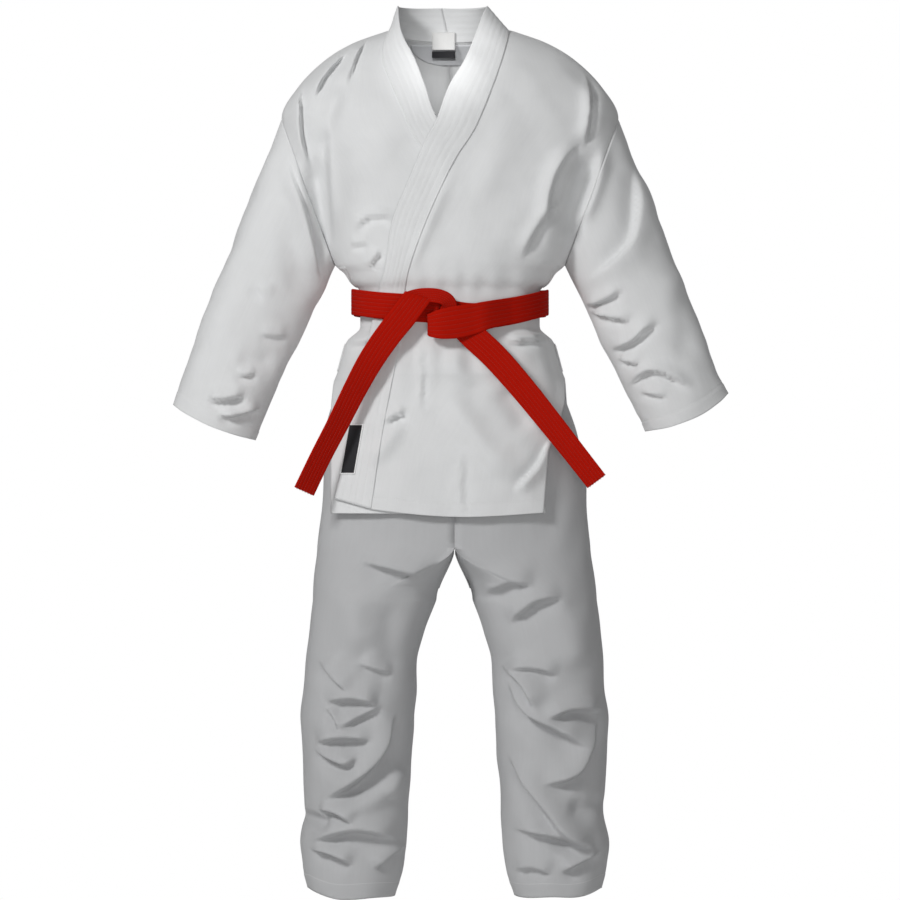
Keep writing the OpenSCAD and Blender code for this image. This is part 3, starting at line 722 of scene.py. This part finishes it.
jacket_back_folds = [
    ("steep", 5, 18, [(-150, -60), (-180, -110), (-196, -170)]),
    ("steep", 5, 18, [(150, -60), (182, -120), (196, -180)]),
    ("crest", -11, 16, [(-226, -215), (-200, -280), (-182, -360)]),
    ("crest", -11, 16, [(226, -215), (202, -280), (182, -360)]),
    ("crest", 6, 17, [(-215, -190), (-180, -250), (-150, -320)]),
    ("crest", 6, 17, [(213, -185), (178, -255), (146, -330)]),
    ("steep", 6, 18, [(-150, -340), (-110, -372), (-60, -386)]),
    ("steep", 6, 18, [(55, -384), (105, -366), (150, -345)]),
    ("crest", 4, 24, [(-40, -150), (-50, -240), (-70, -330)]),
    ("crest", 4, 24, [(50, -140), (44, -230), (62, -320)]),
    ("steep", 5, 16, [(-130, -470), (-122, -530), (-128, -600)]),
    ("crest", 5, 18, [(-70, -480), (-78, -560), (-92, -660)]),
    ("steep", 5, 18, [(10, -470), (4, -560), (-8, -670)]),
    ("crest", 5, 18, [(70, -480), (82, -570), (96, -690)]),
    ("steep", 4, 16, [(130, -480), (134, -540), (128, -610)]),
]


def jacket_push(points):
    x, y, z = points[..., 0], points[..., 1], points[..., 2]
    return np.where(y < 0, 1.35 * fold_height(x, z, jacket_front_folds),
                    fold_height(x, z, jacket_back_folds))


def jacket_swells(points):
    return uneven(points, 11, 170) * 1.7, uneven(points, 12, 60) * 0.5


def drape(points):
    """The jacket's folds and the gathers over and under the belt, pushed straight out of the front
    and the back. They die away under the belt and at the shoulder line."""
    x, y, z = points[..., 0], points[..., 1], points[..., 2]
    long_swells, short_swells = jacket_swells(points)
    push = jacket_push(points) + long_swells + short_swells
    gather = 1.4 * np.sin(x / 5.2 + 1.3 * np.sin(x / 31)) * np.exp(-((z + 400) / 26) ** 2)
    gather += 2.4 * np.sin(x / 8.5 + 1.6 * np.sin(x / 40)) * np.exp(-((z + 505) / 40) ** 2)
    push = push + gather
    push *= 1 - 0.85 * np.exp(-((z + 430) / 24) ** 4)
    push *= smooth((-6 - z) / 30)
    moved = points.copy()
    moved[..., 1] += np.sign(y) * push * smooth(np.abs(y) / 38)
    return moved


arm_turns = np.linspace(0, 180, 47)
seam_rows = -249 + 113 * np.cos(np.radians(arm_turns))
middle_rows = np.linspace(arm_top[1], arm_pit[1], 47)
ridge = np.linspace(-1.5, arm_top[1], 600)
ridge_run = np.concatenate([[0], np.cumsum(np.hypot(np.diff(outline_w(ridge)), np.diff(ridge)))])
shoulder_rows = np.interp(np.linspace(0, ridge_run[-1], 44), ridge_run, ridge)[:-1]
skirt_rows = np.concatenate([np.arange(-367, -715, -5.0), np.arange(-716, -745, -2.5), [hem_z]])
body_rows = np.concatenate([shoulder_rows, middle_rows, skirt_rows])
side_rows = np.concatenate([shoulder_rows, seam_rows, skirt_rows])


def panel_grid(first_turn, side_of, cols, offset, back, lifted=False,
               skirt_edge=inner_skirt_edge):
    """Rows run down a panel and columns from its inner edge to its side seam."""
    start = first_turn(body_rows)
    stop = side_turn(side_rows, offset, back, skirt_edge)
    t = np.linspace(0, 1, cols)[None]
    turn = start[:, None] * (1 - t) + stop[:, None] * t
    z = body_rows[:, None] * (1 - t ** 3) + side_rows[:, None] * t ** 3
    sewn_at = np.where(side_rows < slit_z, 90.0, stop)[:, None]
    total = offset + (wrap_lift(z, turn / sewn_at) if lifted else 0)
    at_side = t == 1
    at_rows = side_rows[:, None]
    width = np.where(at_side, width_at(at_rows, offset, back), width_at(z, total, back))
    x, y = oval(width, depth_at(z, back) + total, turn, 2.4)
    grid = np.stack([x, y if not back else -y, z + total * shoulder_rise(z)], -1)
    armhole = at_side & (at_rows < arm_top[1]) & (at_rows > arm_pit[1])
    grid[..., 1] = np.where(armhole, np.sign(grid[..., 1]) * seam_depth(z, offset), grid[..., 1])
    grid[..., 0] *= side_of
    return grid


def hem_lines_of(grid, way):
    """The two seam lines across a panel a little above its hem."""
    normals = outward(grid) * way
    at = [nearest(body_rows, hem_z + height) for height in (18, 20.5)]
    return [(grid[k], normals[k]) for k in at]


def hem_step(z):
    """The hem is folded under, so the cloth is thicker there."""
    return 0.6 * smooth((hem_z + 20 - z) / 3)


def tucked(grid):
    """The panel with its top edge turned in under the collar."""
    return np.concatenate([grid[:1] * (0.92, 0.92, 1) + (0, 0, 1.2), grid])


def neck_edge(z):
    return 92 * np.sqrt(np.maximum(0, 1 - (z / 14) ** 2))


jacket_seams = []
for side, sign in (("left", 1), ("right", -1)):
    grid = panel_grid(lambda z: turn_at(neck_edge(z), width_at(z, 2, True)), sign, 52, 2.0, True)
    grid = drape(grid)
    grid[..., 1] += hem_step(grid[..., 2])
    panel = make_cloth(f"back_panel_{side}", tucked(grid), jacket_cotton, 1.3, mirrored=sign > 0)
    fit(panel, [f"jacket_back_{side}"], "jacket", "jacket_cotton", flat=(0.28, 0.78), held="hung",
        rests_on=[f"jacket_back_{side}"], area=0.175)
    jacket_seams += hem_lines_of(grid, -sign)

under_sewn = through([(s[1], s[0] + 10) for s in right_band])
grid = panel_grid(lambda z: -turn_at(under_sewn(z), width_at(z, 2, False)), -1, 64, 2.0, False)
grid = drape(grid)
grid[..., 1] -= hem_step(grid[..., 2])
under_front = make_cloth("under_front_panel", tucked(grid), jacket_cotton, 1.3, mirrored=True)
jacket_seams += hem_lines_of(grid, -1)

over_sewn = through([(s[1], s[0] - 10) for s in left_band])
grid = panel_grid(lambda z: turn_at(over_sewn(z), width_at(z, 2, False)), 1, 72, 2.0, False, True,
                  outer_skirt_edge)
hem_rise = through([(-180, 23), (-108, 5), (20, -5), (140, 1), (185, 5)])
grid[..., 2] += hem_rise(grid[..., 0]) * smooth((-560 - grid[..., 2]) / 185)
grid = drape(grid)
grid[..., 1] -= hem_step(body_rows[:, None])
over_front = make_cloth("outer_front_panel", tucked(grid), jacket_cotton, 1.3)
jacket_seams += hem_lines_of(grid, 1)
for panel, node, area in ((under_front, "jacket_front_right", 0.2),
                          (over_front, "jacket_front_left", 0.215)):
    fit(panel, [node], "jacket", "jacket_cotton", flat=(0.36, 0.78), held="hung", rests_on=[node],
        area=area)
sew("jacket_hem_stitches", jacket_seams, "jacket", white_thread)


# The sleeves: wide tapered tubes set into the armholes, with a deep turned cuff held by rows of
# stitching, and a small three-cornered gusset under each arm.
sleeve_front_folds = [
    ("steep", 11, 15, [(-200, -388), (-217, -295), (-240, -229), (-253, -196)]),
    ("crest", -19, 15, [(-206, -240), (-194, -310), (-186, -360)]),
    ("crest", -6, 24, [(-262, -284), (-242, -345), (-226, -430)]),
    ("crest", 3, 9, [(-298, -400), (-282, -398), (-268, -404)]),
    ("crest", -3, 9, [(-312, -402), (-300, -408), (-286, -411)]),
    ("steep", 3, 14, [(-296, -470), (-270, -474), (-248, -474)]),
    ("crest", -4, 16, [(-332, -506), (-300, -512), (-264, -508)]),
    ("steep", 5, 10, [(-332, -530), (-316, -533), (-296, -530)]),
    ("steep", 10, 12, [(-376, -558), (-345, -562), (-314, -561)]),
    ("steep", 10, 11, [(-358, -582), (-328, -586), (-292, -583)]),
    ("crest", 4, 22, [(-320, -330), (-340, -420), (-372, -500)]),
    ("crest", -18, 14, [(208, -220), (196, -262), (184, -310), (178, -345)]),
    ("crest", 9, 11, [(238, -168), (232, -217), (214, -271), (186, -316)]),
    ("steep", 7, 24, [(284, -205), (287, -262), (282, -312), (262, -345), (208, -390)]),
    ("steep", 7, 12, [(206, -428), (236, -418), (266, -404)]),
    ("steep", 8, 11, [(212, -436), (241, -443), (280, -452)]),
    ("steep", 9, 13, [(246, -496), (280, -481), (299, -463), (322, -454)]),
    ("steep", 6, 10, [(258, -508), (276, -513), (294, -516)]),
    ("steep", 8, 12, [(276, -554), (293, -533), (310, -526), (338, -535), (374, -552)]),
    ("steep", 5, 10, [(292, -560), (314, -565), (334, -568)]),
    ("crest", 4, 20, [(330, -360), (346, -430), (372, -490)]),
    ("crest", -4, 18, [(350, -390), (358, -465), (362, -520)]),
]
sleeve_back_folds = [
    ("crest", -11, 16, [(-226, -215), (-200, -280), (-182, -360)]),
    ("crest", -11, 16, [(226, -215), (202, -280), (182, -360)]),
    ("steep", 7, 18, [(-310, -400), (-260, -416), (-215, -420)]),
    ("steep", 7, 18, [(-345, -455), (-290, -470), (-240, -468)]),
    ("steep", 7, 18, [(-370, -520), (-320, -530), (-270, -528)]),
    ("steep", 6, 16, [(-392, -566), (-345, -572), (-300, -574)]),
    ("crest", 6, 20, [(-280, -210), (-300, -290), (-330, -380)]),
    ("steep", 7, 18, [(212, -418), (262, -420), (312, -404)]),
    ("steep", 7, 18, [(238, -470), (292, -466), (348, -452)]),
    ("steep", 7, 18, [(268, -526), (322, -534), (374, -518)]),
    ("steep", 6, 16, [(298, -576), (345, -570), (394, -562)]),
    ("crest", 6, 20, [(280, -215), (302, -290), (328, -380)]),
]
cuff_out, cuff_in = np.array([430.0, -565.0]), np.array([304.0, -627.0])
sleeve_steps = np.concatenate([np.linspace(0, 0.93, 92), np.linspace(0.93, 1, 14)[1:]])
sleeve_turns = np.concatenate([arm_turns, 360 - arm_turns[-2:0:-1]])
sleeve_length = 490
cuff_droops = {"left": [(300, 9), (345, -4), (385, -8), (415, -3), (434, 6)],
               "right": [(298, -4), (340, -13), (380, -17), (410, -16), (434, -11)]}
for side, sign in (("left", 1), ("right", -1)):
    rings = []
    for step in sleeve_steps:
        half = (1 - step) * (arm_top - arm_pit) / 2 + step * (cuff_out - cuff_in) / 2
        middle = (1 - step) * (arm_top + arm_pit) / 2 + step * (cuff_out + cuff_in) / 2
        depth = (1 - step) * 64 + step * 52
        c, s = np.cos(np.radians(sleeve_turns)), np.sin(np.radians(sleeve_turns))
        rings.append(np.stack([middle[0] + half[0] * c, -depth * s, middle[1] + half[1] * c], -1))
    base = np.array(rings)[:, ::-1]
    normals = outward(base, ring=True)
    centre = base.mean(1, keepdims=True)
    if ((base - centre) * normals).sum() < 0:
        normals = -normals
    base[..., 0] *= sign
    normals[..., 0] *= sign
    # At the armhole the cloth moves as the body's panels do, so that the seam stays closed.
    run = sleeve_steps[:, None] * sleeve_length
    y = base[..., 1]
    away = np.stack([np.zeros_like(y), np.sign(y) * smooth(np.abs(y) / 38), np.zeros_like(y)], -1)
    free = smooth((run - 6) / 70)[..., None]
    way = (1 - free) * away + free * normals
    sleeve_push = fold_all_round(base, normals, sleeve_front_folds, sleeve_back_folds)
    share = smooth(run / 40)
    push = (1 - share) * jacket_push(base) + 1.25 * share * sleeve_push
    long_swells, short_swells = jacket_swells(base)
    push = push + long_swells + short_swells
    push *= smooth((-6 - base[..., 2]) / 30)
    push += 0.4 * np.exp(-((run - 7) / 4) ** 2) + 0.7 * smooth((run - 466) / 3)
    cloth = base + push[..., None] * way
    droop = through(cuff_droops[side])
    cloth[..., 2] += droop(np.abs(cloth[..., 0])) * smooth((run - 360) / 130)
    sleeve = make_cloth(f"{side}_sleeve_cloth", cloth, jacket_cotton, 1.3, ring=True,
                        mirrored=sign < 0)
    shoulder_hinge = (("jacket", f"{side}_sleeve"), (sign * 0.2195, 0, -0.249),
                      (sign * (0.2195 + 0.9386 * 0.16), 0, -0.249 - 0.3447 * 0.16))
    fit(sleeve, [f"{side}_sleeve"], shoulder_hinge, "jacket_cotton", flat=(0.46, 0.49), held="hung",
        rests_on=[f"jacket_front_{side}"], area=0.167)
    armhole_line, *cuff_lines = (closed_line(cloth, normals, nearest(run[:, 0], distance))
                                 for distance in (5, 462, 465))
    sew(f"{side}_cuff_stitches", cuff_lines, f"{side}_sleeve", white_thread)
    sew(f"{side}_armhole_stitches", [armhole_line], shoulder_hinge, white_thread)


# The gussets and vent patches: small pieces of the jacket's cotton sewn over the ends of the side
# seams, under each arm and at the top of each slit, where the jacket would tear first.
def side_patch(top, bottom, reach_of, offset):
    """A patch that lies round the side, as many degrees to each side of the seam as it reaches."""
    z, across = np.meshgrid(np.linspace(top, bottom, 12), np.linspace(-1, 1, 15), indexing="ij")
    turn = 90 + across * reach_of(z)
    return np.where((turn > 90)[..., None], body_point(z, turn, offset, True),
                    body_point(z, turn, offset))


def edge_lines(grid, way, inset):
    """The seam lines along the four edges of a patch, so many threads inside them."""
    a, b = inset, -1 - inset
    return [(grid[a], way[a]), (grid[b], way[b]), (grid[:, a], way[:, a]), (grid[:, b], way[:, b])]


for side, sign in (("left", 1), ("right", -1)):
    for kind, node, top, bottom, reach_of, flat, area in (
            ("gusset", f"{side}_gusset", -366, -396, lambda z: 4 + 20 * (z + 396) / 30,
             (0.106, 0.034), 0.0028),
            ("vent", f"{side}_vent_patch", -484, -526, lambda z: 9 + 0 * z, (0.05, 0.042), 0.0021)):
        grid = side_patch(top, bottom, reach_of, 3.5)
        grid[..., 0] *= sign
        patch = make_cloth(f"{side}_{kind}_piece", grid, jacket_cotton, 1.2, mirrored=sign < 0)
        fit(patch, [node], "jacket", "jacket_cotton", flat=flat, held="laid",
            rests_on=[f"back_panel_{side}"], area=area)
        sew(f"{side}_{kind}_stitches", edge_lines(grid, outward(grid) * sign, 1), "jacket",
            white_thread)


# The collar band: one long strip of doubled cotton, quilted with six rows of stitching, that stands
# up round the neck and binds the edge of each front down to the hem.
collar_lean = -12


def band_grid(stations, side, offset_of):
    """Rows run from the middle of the back down the front, and columns from the sewn edge to the
    free one."""
    share = np.linspace(0, 1, 27)
    rows = []
    for a in np.radians(np.linspace(0, 86, 26))[:-1]:
        x, low = 91 * np.sin(a), np.array(-14 * np.cos(a))
        y = body_point(low, 180 - turn_at(x, width_at(low, 0, True)), 0, True)[1]
        sewn = np.array([side * x, y, low + 1.5])
        free = np.array([collar_lean + side * 69 * np.sin(a), 2 + 56 * np.cos(a),
                         42 - 2 * np.sin(a)])
        rows.append(sewn + share[:, None] * (free - sewn))
    knots = np.array([s[:4] for s in stations], float)
    standing = [s[4] for s in stations if len(s) > 4]
    fine = []
    for k in range(len(knots) - 1):
        before, after = knots[max(k - 1, 0)], knots[min(k + 2, len(knots) - 1)]
        count = max(2, int(np.linalg.norm(knots[k + 1, :2] - knots[k, :2]) / 4.5))
        for t in np.linspace(0, 1, count + 1)[: None if k == len(knots) - 2 else -1]:
            span = knots[k + 1] - knots[k]
            slope_a = (knots[k + 1] - before) / 2 if k else span
            slope_b = (after - knots[k]) / 2 if k < len(knots) - 2 else span
            fine.append((k + t, (2 * t ** 3 - 3 * t ** 2 + 1) * knots[k]
                         + (t ** 3 - 2 * t ** 2 + t) * slope_a
                         + (-2 * t ** 3 + 3 * t ** 2) * knots[k + 1] + (t ** 3 - t ** 2) * slope_b))
    for place, (sx, sz, fx, fz) in fine:
        x, z = sx + share * (fx - sx), sz + share * (fz - sz)
        offset = offset_of(sz)
        laid = chest_point(x, z, offset)
        if place < 3:
            sewn = chest_point(np.array(sx), np.array(sz), offset)
            laid_y = chest_point(np.array(knots[3, 2]), np.array(knots[3, 3]), offset)[1]
            free_y = np.interp(place, range(4), standing + [laid_y])
            free = np.array([fx, free_y, fz])
            stand = sewn + share[:, None] * (free - sewn)
            mix = smooth((place - 1.6) / 1.4)
            laid = (1 - mix) * stand + mix * laid
        rows.append(laid)
    return np.array(rows)


def quilted(grid, way, rows_at):
    """Sinks the stitched rows of a strip into it and lets the cloth between them swell."""
    share = np.linspace(0, 1, grid.shape[1])
    spacing = rows_at[1] - rows_at[0]
    sink = sum(np.exp(-((share - r) / (0.14 * spacing)) ** 2) for r in rows_at)
    edge = np.minimum(share, 1 - share)
    lift = 0.5 * smooth(edge / 0.03) - 0.55 * np.clip(sink, 0, 1)
    return grid + way * lift[None, :, None]


band_rows_at = np.array([0.09, 0.27, 0.45, 0.63, 0.81, 0.95])
for side, sign, stations, node in (("right", -1, right_band, "collar_band_right"),
                                   ("left", 1, left_band, "collar_band_left")):
    rest = (lambda z: 2.3) if sign < 0 else (lambda z: 2.3 + 5 * smooth((-40 - z) / 80))
    grid = band_grid(stations, sign, rest)
    grid = drape(grid)
    way = outward(grid) * -sign
    grid = quilted(grid, way, band_rows_at)
    grid = grid + way * (0.9 + 0.25 * uneven(grid, 21, 40))[..., None]
    band = make_cloth(f"{side}_collar_strip", grid, jacket_cotton, 2.2, mirrored=sign > 0)
    fit(band, [node], "jacket", "jacket_cotton", flat=(0.1, 0.95), held="hung",
        rests_on=["jacket_front_left"], area=0.05)
    columns = [int(round(row * (grid.shape[1] - 1))) for row in band_rows_at]
    sew(f"{side}_collar_stitches", [(grid[:, k], way[:, k]) for k in columns], "jacket",
        white_thread)


# Inside the neck: a half-moon facing over the back seam, a plain woven size label and a thin plain
# black strip just below it, all held in the collar seam.
z, across = np.meshgrid(np.linspace(-15.5, -46, 14), np.linspace(-1, 1, 33), indexing="ij")
half = 62 * np.sqrt(np.maximum(0.004, 1 - ((z + 15.5) / 31) ** 2))
grid = body_point(z, 180 - turn_at(half * across, width_at(z, 0, True)), -0.8, True)
yoke = make_cloth("neck_facing", grid, lining_cotton, 1.0)
fit(yoke, ["neck_yoke"], "jacket", "lining_cotton", flat=(0.124, 0.031), held="laid",
    rests_on=["back_panel_left"], area=0.0034)

label_cloth = woven("Label weave", (0.78, 0.78, 0.77), 0.0004, 0.00005, sheen=0.1, roughness=0.6)
black_cloth = woven("Black weave", (0.02, 0.02, 0.023), 0.0005, 0.0001, sheen=0.2, roughness=0.7)


def label(name, node, middle, wide, high, material, slot, bow):
    """A small label that hangs from its upper edge and bows forward in the middle."""
    x, z = np.meshgrid(np.linspace(-wide / 2, wide / 2, 19), np.linspace(high / 2, -high / 2, 15))
    y = -bow * np.cos(np.pi * x / wide) * (0.4 - z / high) + z * 0.1
    grid = np.stack([middle[0] + x, middle[1] + y, middle[2] + z], -1)
    piece = make_cloth(name, grid, material, 0.6)
    fit(piece, [node], "jacket", slot, flat=(wide / 1000, high / 1000), held="hung",
        rests_on=["neck_facing"])
    return grid


grid = label("woven_size_label", "size_label", (-10, 47.6, -10), 36, 28, label_cloth,
             "label_weave", 1.5)
top_edge, _, *side_edges = edge_lines(grid, outward(grid), 1)
sew("label_border", [top_edge, *side_edges], "jacket", white_thread, pitch=1.6,
    length=1.3, width=0.5)
# A thin black strip along the size label's lower edge.
label("black_strip_under_label", "care_tag", (-10, 50.0, -31), 36, 10, black_cloth, "black_weave", 0.6)


# The hem patch: a small plain black badge with a thick white overlocked edge, sewn on the outer
# band a little above the hem.
x, drop = np.meshgrid(np.linspace(-10, 10, 11), np.linspace(0, 75, 25))
lean = math.tan(math.radians(10))
grid = drape(chest_point(-143.5 + x * 1.08 - drop * lean, -609 - drop, 9.2))
badge = make_cloth("hem_badge", grid, black_cloth, 0.9)
fit(badge, ["hem_patch"], "jacket", "black_weave", flat=(0.02, 0.076), held="laid",
    rests_on=["left_collar_strip"])
edge_thread = thread_finish("Edge thread", (0.95, 0.95, 0.95))
sew("badge_overlock", edge_lines(grid, outward(grid), 0), "jacket", edge_thread,
    pitch=1.0, length=2.2, width=2.6)


# The belt: one long strap of red cotton, quilted with rows of stitching, wound twice round the
# waist and tied in front in a square knot, with both ends hanging free.
belt_cotton = woven("Belt cotton", (0.46, 0.008, 0.002), 0.0009, 0.0003, streak=0.6, sheen=0.0,
                    shine=0.05)
red_thread = thread_finish("Red thread", (0.42, 0.02, 0.01))
belt_width = 40.0
belt_lines = np.linspace(-14.2, 14.2, 6)


def strap(name, path, across, thick, closed=False, taper=None):
    """A flat quilted strap along a path; across gives the way its width runs at each point, and
    taper the share of the full width."""
    path, across = np.array(path, float), np.array(across, float)
    forward = (np.roll(path, -1, 0) - np.roll(path, 1, 0)) if closed else np.gradient(path, axis=0)
    forward /= np.linalg.norm(forward, axis=1, keepdims=True)
    across = across - (across * forward).sum(1, keepdims=True) * forward
    across /= np.linalg.norm(across, axis=1, keepdims=True)
    face = np.cross(forward, across)
    edge_at, half = belt_width / 2, thick / 2
    flat = np.linspace(-edge_at, edge_at, 37)
    groove = sum(np.exp(-((flat - b) / 0.9) ** 2) for b in belt_lines)
    rounded = np.sqrt(np.clip(1 - (np.abs(flat) / edge_at) ** 14, 0.02, 1))
    height = rounded * half - 0.55 * groove * (np.abs(flat) < edge_at - 2)
    profile = np.vstack([np.stack([flat, height], -1), np.stack([flat[::-1], -height[::-1]], -1)])
    scale = np.ones(len(path)) if taper is None else np.array(taper, float)
    grid = (path[:, None] + (profile[None, :, :1] * scale[:, None, None]) * across[:, None]
            + profile[None, :, 1:] * face[:, None])
    rows, cols = grid.shape[:2]
    if closed:
        grid = np.concatenate([grid, grid[:1]])
    corners, weave = grid_quads(len(grid), cols, True)
    threads = weave_lengths(grid, True)
    if closed:
        corners = corners % (rows * cols)
        grid = grid[:-1]
    faces = corners.tolist()
    if not closed:
        faces += [list(range(cols)), list(range((rows - 1) * cols, rows * cols))[::-1]]
    mesh = bpy.data.meshes.new(name)
    mesh.from_pydata((grid.reshape(-1, 3) / 1000).tolist(), [], faces)
    loops = np.concatenate([weave.ravel()] + ([] if closed else [np.zeros(2 * cols, int)]))
    mesh.uv_layers.new(name="Weave").data.foreach_set("uv", threads[loops].ravel())
    mesh.polygons.foreach_set("use_smooth", [len(f) == 4 for f in faces])
    mesh.materials.append(belt_cotton)
    work = bmesh.new()
    work.from_mesh(mesh)
    bmesh.ops.recalc_face_normals(work, faces=work.faces)
    work.to_mesh(mesh)
    work.free()
    piece = bpy.data.objects.new(name, mesh)
    bpy.context.collection.objects.link(piece)
    lines = []
    for b in belt_lines:
        for way in (1, -1):
            line = path + across * (b * scale)[:, None] + face * way * (half - 0.25)
            if closed:
                line = np.vstack([line, line[:1]])
            lines.append((line, np.vstack([face, face[:1]])[: len(line)] * way))
    return piece, lines


def belt_piece(piece, lines, node, held_by, length, held="hung"):
    fit(piece, [node], held_by, "belt_cotton", flat=(belt_width / 1000, length), held=held,
        rests_on=["belt_knot"])
    sew(piece.name + "_stitches", lines, held_by, red_thread, pitch=3.6, length=2.7,
        width=0.75)


def bent(knots, step=3.0):
    """A soft path, the way across it and its share of the full width, from rows of seven numbers:
    a point, the way across there and the share."""
    fine = curve_through(knots, step)
    return fine[:, :3], fine[:, 3:6], fine[:, 6]


def round_the_waist(turn, out, upper):
    front = np.cos(np.radians(turn)) > 0
    x, y = oval(137 + out, np.where(front, 106.6, 96.2) + out, turn, 2.4)
    drop = 12 + 12 * smooth(0.5 + x / 90)
    z = -420 - drop * np.maximum(0, np.cos(np.radians(turn))) ** 2
    z += upper + 0.8 * np.sin(np.radians(turn) * 3 + upper)
    return np.stack([x, y, z], -1)


path = round_the_waist(np.linspace(0, 360, 241)[:-1], 11.6, -0.9)
wrap, lines = strap("belt_inner_turn", path, np.tile([0.0, 0.0, 1.0], (len(path), 1)), 2.6,
                    closed=True)
belt_piece(wrap, lines, "belt_inner_wrap", "jacket", 0.86)

# The outer turn runs from behind the knot right round the waist and ends as the knot's front.
path = round_the_waist(np.linspace(-4, -326, 216), 14.9, 0.9)
into_knot, across, share = bent([
    (*path[-1], 0, 0, 1, 1), (58, -128.5, -442.5, 0.05, 0, 1, 1.06),
    (34, -135, -449, 0.06, 0, 1, 1.16), (8, -141, -454, 0.04, 0, 1, 1.22),
    (-14, -143, -457, -0.04, 0, 1, 1.12), (-29, -138, -458, -0.08, 0, 1, 0.92),
    (-33, -131, -457, 0, 0, 1, 0.8), (-24, -126, -455, 0, 0, 1, 0.75),
    (-6, -124, -453, 0, 0, 1, 0.75)])
share = np.concatenate([np.ones(len(path)), share[1:]])
across = np.vstack([np.tile([0.0, 0.0, 1.0], (len(path), 1)), across[1:]])
path = np.vstack([path, into_knot[1:]])
wrap, lines = strap("belt_outer_turn", path, across, 2.6, taper=share)
belt_piece(wrap, lines, "belt_outer_wrap", "jacket", 1.0)

# The upper pass of the square knot bends over the top of both turns and dives behind the front one.
path, across, share = bent([
    (-66, -119, -417, 0, 0, 1, 0.5), (-50, -126.5, -413.5, 0.05, 0, 1, 0.54),
    (-34, -131, -412.5, 0.1, 0, 1, 0.55), (-18, -132.5, -414, 0.3, 0, 1, 0.55),
    (-6, -131.5, -419, 0.75, 0, 0.9, 0.55), (-1, -129, -428, 1, 0, 0.4, 0.6),
    (-3, -127, -440, 1, 0, 0, 0.7), (-6, -126, -456, 1, 0, 0, 0.75)], 2.0)
piece, lines = strap("knot_upright", path, across, 4.4, taper=share)
belt_piece(piece, lines, "belt_knot", "jacket", 0.08, held="folded")

# The two ends: each one's path, the middle of its hinge, the way it runs on from there, its length.
tails = [
    ("left",
     [(6, -127.5, -446, -0.69, 0, -0.72, 0.95), (34, -130, -474, -0.69, 0, -0.72, 1),
      (70, -131.5, -508, -0.72, 0.05, -0.69, 1.0), (112, -133.5, -556, -0.765, 0.2, -0.643, 0.98),
      (150, -132, -603, -0.77, 0.36, -0.64, 0.97), (188, -130.5, -651, -0.77, 0.5, -0.64, 0.96),
      (223, -129.5, -696, -0.77, 0.56, -0.64, 0.96)],
     (0.044, -0.131, -0.486), (0.64, -0.77), 0.33),
    ("right",
     [(-36, -127, -397, 0.8, 0, -0.59, 1), (-50, -134.5, -416, 0.8, 0, -0.59, 1.02),
      (-70, -135.5, -443, 0.78, 0, -0.62, 1.02), (-96, -135, -476, 0.78, 0.05, -0.62, 1),
      (-121, -134, -513, 0.83, 0.2, -0.55, 0.98), (-144, -133.5, -555, 0.88, 0.4, -0.47, 0.96),
      (-170, -132, -607, 0.88, 0.6, -0.47, 0.96), (-197, -131, -659, 0.88, 0.68, -0.47, 0.96),
      (-222, -130, -711, 0.88, 0.68, -0.52, 0.96)],
     (-0.08, -0.131, -0.44), (-0.4848, -0.8746), 0.36),
]
tail_bend = 0.045
for side, knots, start, way, length in tails:
    path, across, share = bent(knots)
    piece, lines = strap(f"{side}_tail_strap", path, across, 3.0, taper=share)
    if side == "right":
        # Its upper end is folded level with the top edge of the belt.
        for v in piece.data.vertices:
            top = float(np.interp(v.co.x, (-0.143, -0.067, -0.034, 0.01),
                                  (-0.399, -0.4065, -0.4165, -0.421)))
            v.co.z = min(v.co.z, top)
        lines = [(line[line[:, 2] < -418], face[line[:, 2] < -418]) for line, face in lines]
    end = (start[0] + way[0] * tail_bend, start[1], start[2] + way[1] * tail_bend)
    node = f"{side}_belt_tail"
    belt_piece(piece, lines, node, (("jacket", node), start, end), length)


# The waistband: a casing for the elastic round the top of the trousers, gathered into small pleats,
# and the saddle of doubled cotton that reinforces the crotch.
turn = np.linspace(0, 360, 241)[:-1]
rows = []
for z in np.linspace(-402, -440, 16):
    x, y = oval(131.0, 95.5, turn, 2.4)
    pleat = 0.9 * np.sin(np.radians(turn) * 44) + 0.5 * np.sin(np.radians(turn) * 71 + 1)
    swell = 1.6 * math.sqrt(max(0.0, 1 - ((z + 421) / 19.5) ** 2))
    for seam_z in (-410, -432):
        swell -= 1.2 * math.exp(-((z - seam_z) / 1.6) ** 2)
    scale = 1 + (pleat + swell) / 120
    rows.append(np.stack([x * scale, y * scale, np.full_like(x, z)], -1))
casing = make_cloth("waistband_casing", np.array(rows), trouser_cotton, 3.2, ring=True)
fit(casing, ["waistband"], "trousers", "trouser_cotton", flat=(0.76, 0.04), held="gathered",
    rests_on=["left_trouser_half"])
for side, sign in (("left", 1), ("right", -1)):
    z, turn = np.meshgrid(np.linspace(-800, -862, 14), np.linspace(-26, 26, 15), indexing="ij")
    taper = 1 - 0.72 * np.clip((-800 - z) / 62, 0, 1)
    x, y = trouser_surface(z, 270 + turn * taper)
    grid = np.stack([7 + sign * (x - 1.6 * smooth((-800 - z) / 10)), y, z], -1)
    saddle = make_cloth(f"crotch_saddle_{side}", grid, trouser_cotton, 1.0, mirrored=sign < 0)
    fit(saddle, ["crotch_gusset"], hip_hinge(side), "trouser_cotton", flat=(0.09, 0.064),
        held="laid", rests_on=["left_trouser_half"], area=0.0042)
